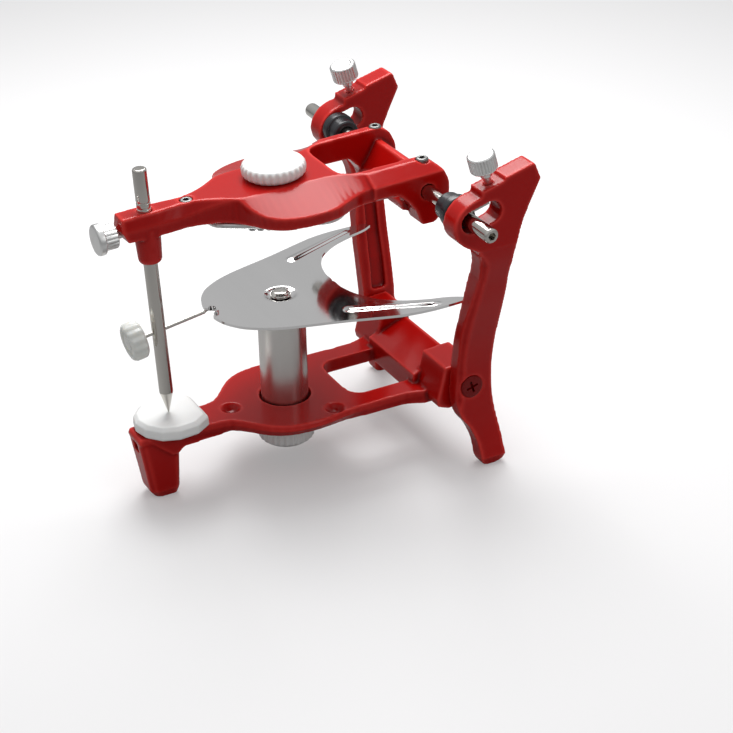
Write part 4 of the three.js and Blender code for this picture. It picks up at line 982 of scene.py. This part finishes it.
@dataclass
class Knobs:
    """White fluted knobs with their steel studs."""

    shop: Shop
    flute_count: int = 28
    flute_depth: float = 0.7
    upper_radius: float = 13.1
    upper_half: float = 3.1
    lower_radius: float = 12.0
    lower_half: float = 4.0
    neck_radius: float = 6.5
    stud_radius: float = 2.85
    thread_pitch: float = 0.8

    def build(self) -> None:
        """Makes the upper knob, the column's knob and both studs."""
        places = self.shop.places
        low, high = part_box("mounting_knob")
        middle = places.upper.inverted() @ ((low + high) / 2)
        place = Places.on(places.upper, 0.0, middle.y / MM, middle.z / MM)
        r, h = self.upper_radius, self.upper_half
        corners = [(0.0, -h), (r - 2.0, -h, 0.5), (r - 0.3, -h + 1.2, 0.8), (r, -h + 2.4, 0.6),
                   (r, h - 1.9, 0.6), (r - 0.9, h - 0.6, 0.8), (r - 3.2, h, 0.8), (0.0, h + 0.1)]
        self._knob("mounting_knob_moulded", corners, place, r, h, "top_knob", "mounting_knob")
        self._stud("mounting_stud", "top_knob")
        low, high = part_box("column_knob")
        r, h, neck = self.lower_radius, self.lower_half, self.neck_radius
        place = Matrix.Translation((0.0, (low.y + high.y) / 2, low.z + h * MM))
        top = (high.z - low.z) / MM - h
        corners = [(0.0, -h), (r - 2.6, -h, 0.6), (r, -h + 2.0, 0.8), (r, h - 1.6, 0.7), (r - 1.4, h, 0.6),
                   (neck + 0.7, h, 0.8), (neck, h + 0.9, 0.6), (neck, top, 0.3), (0.0, top)]
        self._knob("column_knob_moulded", corners, place, r, h, "bottom_knob", "column_knob")
        self._stud("column_stud", "bottom_knob")

    def _knob(self, name: str, corners: list[Corner], place: Matrix, radius: float, half: float, body: str,
              node: str) -> None:
        """Turns one knob and presses its flutes."""
        knob = turned(name, corners, Matrix.Identity(4), self.flute_count * 10)
        self.shop.flutes.apply(knob, self.shop.materials[WHITE], Count=self.flute_count,
                               Depth=self.flute_depth * MM, Low=(-half - 0.5) * MM, High=(half - 0.4) * MM,
                               Inner_Radius=(radius - 2.2) * MM, Fade=1.6 * MM, Sharpness=1.0)
        knob.data.transform(place)
        shade(knob, SOFT_SHARP)
        self.shop.place(knob, WHITE, body, node)

    def _stud(self, node: str, body: str) -> None:
        """Threaded stud: a turned rod with a ridge for each turn of the thread."""
        low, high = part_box(node)
        length = (high.z - low.z) / MM
        direction = Vector((0.0, 0.0, 1.0))
        if body == "top_knob":
            direction = self.shop.places.upper.to_3x3() @ direction
        centre = (low + high) / 2
        place = Places.aimed(centre, direction)
        half = length / 2 - 0.1
        r, pitch, height = self.stud_radius, self.thread_pitch, -half + 0.4
        corners: list[Corner] = [(0.0, -half), (r - 0.45, -half)]
        while height < half - 0.6:
            corners += [(r, height), (r - 0.4, height + pitch / 2)]
            height += pitch
        corners += [(r - 0.45, half), (0.0, half)]
        self.shop.place(turned(node + "_threaded", corners, place, 48), NICKEL, body, node)


@dataclass
class MountingPlate:
    """Cast zinc plate under the upper frame."""

    shop: Shop
    voxel: float = 0.4
    softness: int = 2
    edge_reach: float = 0.1

    def build(self) -> None:
        """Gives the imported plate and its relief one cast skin."""
        plate = copy_of("upper_mounting_plate", "upper_mounting_plate_casting")
        cast_skin(plate, self.voxel, self.softness, self.edge_reach)
        self.shop.place(plate, ZINC, "upper_member", "upper_mounting_plate")


@dataclass
class TableParts:
    """Column, occlusal table and its screw.

    Each station holds a point of the table's inner edge and one of its outer edge, from the hinge's
    ground point, on the right half from the front notch to the rear tip.
    """

    shop: Shop
    thickness: float = 1.1
    rib_height: float = 0.8
    dish_depth: float = 0.9
    dish_radius: float = 6.8
    dish_slope: float = 2.2
    rib_start: tuple[float, float] = (26.8, -36.0)
    rib_end: tuple[float, float] = (39.6, -4.0)
    rib_half: float = 2.5
    rib_narrowing: float = 0.7
    across: int = 44
    along: int = 7
    column_radius: float = 10.0
    stations: list[tuple[float, float, float, float]] = field(default_factory=lambda: [
        (0, -82.8, 2.4, -82.9), (0, -81.0, 3.1, -85.2), (0, -79, 5.2, -86.3), (0, -75, 11.6, -84.6),
        (0, -70, 17.7, -80.8), (0, -64, 21.6, -76.4), (0, -58, 25.0, -70.9), (0, -51, 27.8, -64.4),
        (0, -44, 30.0, -57.4), (0, -37, 32.2, -49.6), (0, -30.5, 34.4, -42.0), (7, -29.8, 36.6, -35.4),
        (13.5, -28.2, 38.5, -29.8), (19.6, -25.4, 40.2, -24.6), (25, -21.4, 41.6, -19.8),
        (30.6, -14, 42.7, -13.4), (34.4, -5.5, 43.3, -6.0), (37.4, 4, 43.2, 2.5), (40.2, 9.0, 42.9, 7.0)])

    def build(self) -> None:
        """Makes the three pieces."""
        self._column()
        self._sheet()
        self._screw()

    def _column(self) -> None:
        """Brushed column with small chamfers."""
        low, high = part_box("support_column")
        place = Matrix.Translation((0.0, (low.y + high.y) / 2, low.z))
        height = (high.z - low.z) / MM
        r = self.column_radius
        corners = [(0.0, 0.0), (r - 0.4, 0.0, 0.1), (r, 0.4, 0.2), (r, height - 0.5, 0.3),
                   (r - 0.5, height, 0.1), (0.0, height)]
        column = turned("support_column_brushed", corners, place, 128)
        self.shop.place(column, COLUMN, "base", "support_column")

    def _rows(self) -> list[tuple[Vector, Vector]]:
        """Pairs of points on the inner and outer edges, from the front notch to the rear tip."""
        inner = [Vector((a, b)) for a, b, _, _ in self.stations]
        outer = [Vector((c, d)) for _, _, c, d in self.stations]
        rows = []
        for k in range(len(self.stations) - 1):
            for step in range(self.along):
                t = step / self.along
                rows.append((self._curve(inner, k, t), self._curve(outer, k, t)))
        rows.append((inner[-1], outer[-1]))
        return rows

    def _sheet(self) -> None:
        """Polished sheet: a net between its inner and outer edges, with pressed ribs and a dish."""
        rows = self._rows()
        low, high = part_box("support_column")
        screw_y = ((low.y + high.y) / 2 - self.shop.places.hinge.y) / MM
        top = high.z / MM + self.thickness + 0.1
        verts, faces = [], []
        width = self.across + 1
        for mirror in (1, -1):
            base = len(verts)
            for start, stop in rows:
                for i in range(width):
                    point = start.lerp(stop, i / self.across)
                    verts.append((mirror * point.x, point.y, top + self._relief(point, screw_y)))
            for row in range(len(rows) - 1):
                for i in range(self.across):
                    a = base + row * width + i
                    face = [a, a + 1, a + width + 1, a + width]
                    faces.append(face if mirror > 0 else face[::-1])
        sheet = piece("occlusal_table_polished", verts, faces, self.shop.places.lower)
        self._merge_upwards(sheet)
        solid = sheet.modifiers.new("wall", "SOLIDIFY")
        solid.thickness = self.thickness * MM
        solid.offset = -1.0
        baked(sheet)
        shade(sheet, 40.0)
        self.shop.place(sheet, MIRROR, "base", "occlusal_table")

    @staticmethod
    def _merge_upwards(sheet: bpy.types.Object) -> None:
        """Joins the two halves and turns every face upwards."""
        net = bmesh.new()
        net.from_mesh(sheet.data)
        bmesh.ops.remove_doubles(net, verts=net.verts, dist=1e-5)
        bmesh.ops.recalc_face_normals(net, faces=net.faces)
        if sum(f.normal.z for f in net.faces) < 0:
            bmesh.ops.reverse_faces(net, faces=net.faces)
        net.to_mesh(sheet.data)
        net.free()

    @staticmethod
    def _curve(points: list[Vector], index: int, t: float) -> Vector:
        """Point on a smooth curve through points, between one and the next."""
        p0 = points[max(index - 1, 0)]
        p1, p2 = points[index], points[index + 1]
        p3 = points[min(index + 2, len(points) - 1)]
        a = (p2 - p0) * 0.5
        b = (p3 - p1) * 0.5
        on_middle = p0.x == p1.x == p2.x == 0.0
        if p1 != p2 and (index == 0 or on_middle):
            return p1.lerp(p2, t)
        t2, t3 = t * t, t * t * t
        return p1 * (2 * t3 - 3 * t2 + 1) + a * (t3 - 2 * t2 + t) + p2 * (3 * t2 - 2 * t3) + b * (t3 - t2)

    def _relief(self, point: Vector, screw_y: float) -> float:
        """Height of the pressed ribs and the dish at a point, in millimetres."""
        start, stop = Vector(self.rib_start), Vector(self.rib_end)
        run = stop - start
        share = max(0.0, min(1.0, (point - start).dot(run) / run.length_squared))
        gap = (point - (start + run * share)).length
        half = self.rib_half - self.rib_narrowing * share
        rib = self.rib_height * self._step(1.0 - gap / half)
        far = math.hypot(point.x, point.y - screw_y)
        dish = -self.dish_depth * self._step((self.dish_radius - far) / self.dish_slope)
        return rib + dish

    @staticmethod
    def _step(value: float) -> float:
        """Smooth step from 0 to 1."""
        value = max(0.0, min(1.0, value * 1.4))
        return value * value * (3 - 2 * value)

    def _screw(self) -> None:
        """Screw in the middle of the table."""
        low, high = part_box("table_screw")
        place = Matrix.Translation((0.0, (low.y + high.y) / 2, high.z - 1.7 * MM))
        corners = [(0.0, -8.6), (1.8, -8.6, 0.2), (1.8, -0.9, 0.1), (4.2, -0.75, 0.1), (4.2, 0.1, 0.3),
                   (3.0, 1.1, 0.5), (1.2, 1.3, 0.3), (0.0, 1.2)]
        screw = turned("table_screw_polished", corners, place, 64)
        self.shop.place(screw, NICKEL, "base", "table_screw")


# ---------------------------------------------------------------- studio


@dataclass
class Studio:
    """Pale floor, soft light and the camera."""

    places: Places
    azimuth: float = 62.419
    elevation: float = 28.808
    roll: float = -1.282
    distance: float = 862.1
    target: tuple[float, float, float] = (0.0, -15.21, 31.82)
    lens: float = 98.93
    sensor: float = 36.0
    floor_colour: Colour = (0.60, 0.595, 0.597)
    floor_bounce: Colour = (0.36, 0.36, 0.36)
    floor_glow: float = 0.20
    room_glow: tuple[float, float] = (0.34, 0.70)

    def build(self) -> None:
        """Makes the floor, lights, world and camera."""
        self._camera()
        self._floor()
        self._world()
        self._lamp("overhead", (-220, 100, 560), 360, 460, 3.9)
        self._lamp("side", (620, 240, 420), 160, 420, 0.25)
        scene = bpy.context.scene
        scene.view_settings.view_transform = "Standard"
        scene.view_settings.look = "None"

    def _aim(self) -> Vector:
        """The point that the camera and lights look at, in metres."""
        return self.places.lower @ (Vector(self.target) * MM)

    def _camera(self) -> None:
        """Camera at the viewing angle, with its roll."""
        azimuth, elevation = math.radians(self.azimuth), math.radians(self.elevation)
        back = Vector((math.sin(azimuth) * math.cos(elevation), -math.cos(azimuth) * math.cos(elevation),
                       math.sin(elevation)))
        data = bpy.data.cameras.new("camera")
        data.lens = self.lens
        data.sensor_width = self.sensor
        data.clip_start = 0.05
        camera = bpy.data.objects.new("camera", data)
        bpy.context.scene.collection.objects.link(camera)
        turn = back.to_track_quat("Z", "Y").to_matrix().to_4x4()
        camera.matrix_world = (Matrix.Translation(self._aim() + back * self.distance * MM) @ turn
                               @ Matrix.Rotation(math.radians(self.roll), 4, "Z"))
        bpy.context.scene.camera = camera

    def _floor(self) -> None:
        """Wide pale floor."""
        size = 4000.0
        corners = [(x, y, -0.1) for x, y in ((-size, -size), (size, -size), (size, size), (-size, size))]
        floor = piece("floor", corners, [[0, 1, 2, 3]], Matrix.Identity(4))
        material = bpy.data.materials.new("pale_floor")
        material.use_nodes = True
        board = Board(material.node_tree)
        output = board.add("ShaderNodeOutputMaterial")
        bounce = board.add("ShaderNodeBsdfDiffuse", Color=(*self.floor_bounce, 1.0))
        shown = board.add("ShaderNodeBsdfDiffuse", Color=(*self.floor_colour, 1.0))
        glow = board.add("ShaderNodeEmission", Color=(1.0, 1.0, 1.0, 1.0), Strength=self.floor_glow)
        lit = board.add("ShaderNodeAddShader")
        board.feed(lit, 0, shown.outputs[0])
        board.feed(lit, 1, glow.outputs[0])
        pick = board.add("ShaderNodeMixShader", Fac=board.add("ShaderNodeLightPath").outputs["Is Camera Ray"])
        board.feed(pick, 1, bounce.outputs[0])
        board.feed(pick, 2, lit.outputs[0])
        board.feed(output, "Surface", pick.outputs[0])
        dress(floor, material)

    def _world(self) -> None:
        """White room, brighter overhead than at eye level."""
        world = bpy.data.worlds.new("studio")
        bpy.context.scene.world = world
        world.use_nodes = True
        board = Board(world.node_tree)
        output = board.add("ShaderNodeOutputWorld")
        way = board.add("ShaderNodeTexCoord").outputs["Generated"]
        height = board.add("ShaderNodeSeparateXYZ", Vector=way).outputs["Z"]
        ramp = board.add("ShaderNodeMapRange", Value=height)
        low, high = self.room_glow
        for name, value in (("From Min", 0.0), ("From Max", 0.8), ("To Min", low), ("To Max", high)):
            ramp.inputs[name].default_value = value
        glow = board.add("ShaderNodeBackground", Color=(0.985, 0.99, 1.0, 1.0), Strength=ramp.outputs[0])
        board.feed(output, "Surface", glow.outputs[0])

    def _lamp(self, name: str, place: tuple[float, float, float], wide: float, deep: float,
              power: float) -> None:
        """Soft rectangular lamp that looks at the target."""
        data = bpy.data.lights.new(name, "AREA")
        data.shape = "RECTANGLE"
        data.size = wide * MM
        data.size_y = deep * MM
        data.energy = power
        lamp = bpy.data.objects.new(name, data)
        bpy.context.scene.collection.objects.link(lamp)
        spot = Vector(place) * MM
        lamp.matrix_world = Places.aimed(spot, spot - self._aim())


def main() -> None:
    """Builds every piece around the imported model."""
    logging.basicConfig(level=logging.INFO, format="%(message)s")
    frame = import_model()
    shop = Shop(frame["joints"])
    Studio(shop.places).build()
    for part in (Castings(shop), JoiningScrews(shop), ThumbScrews(shop), HingeParts(shop), PinParts(shop),
                 Knobs(shop), MountingPlate(shop), TableParts(shop)):
        part.build()


if __name__ == "__main__":
    main()
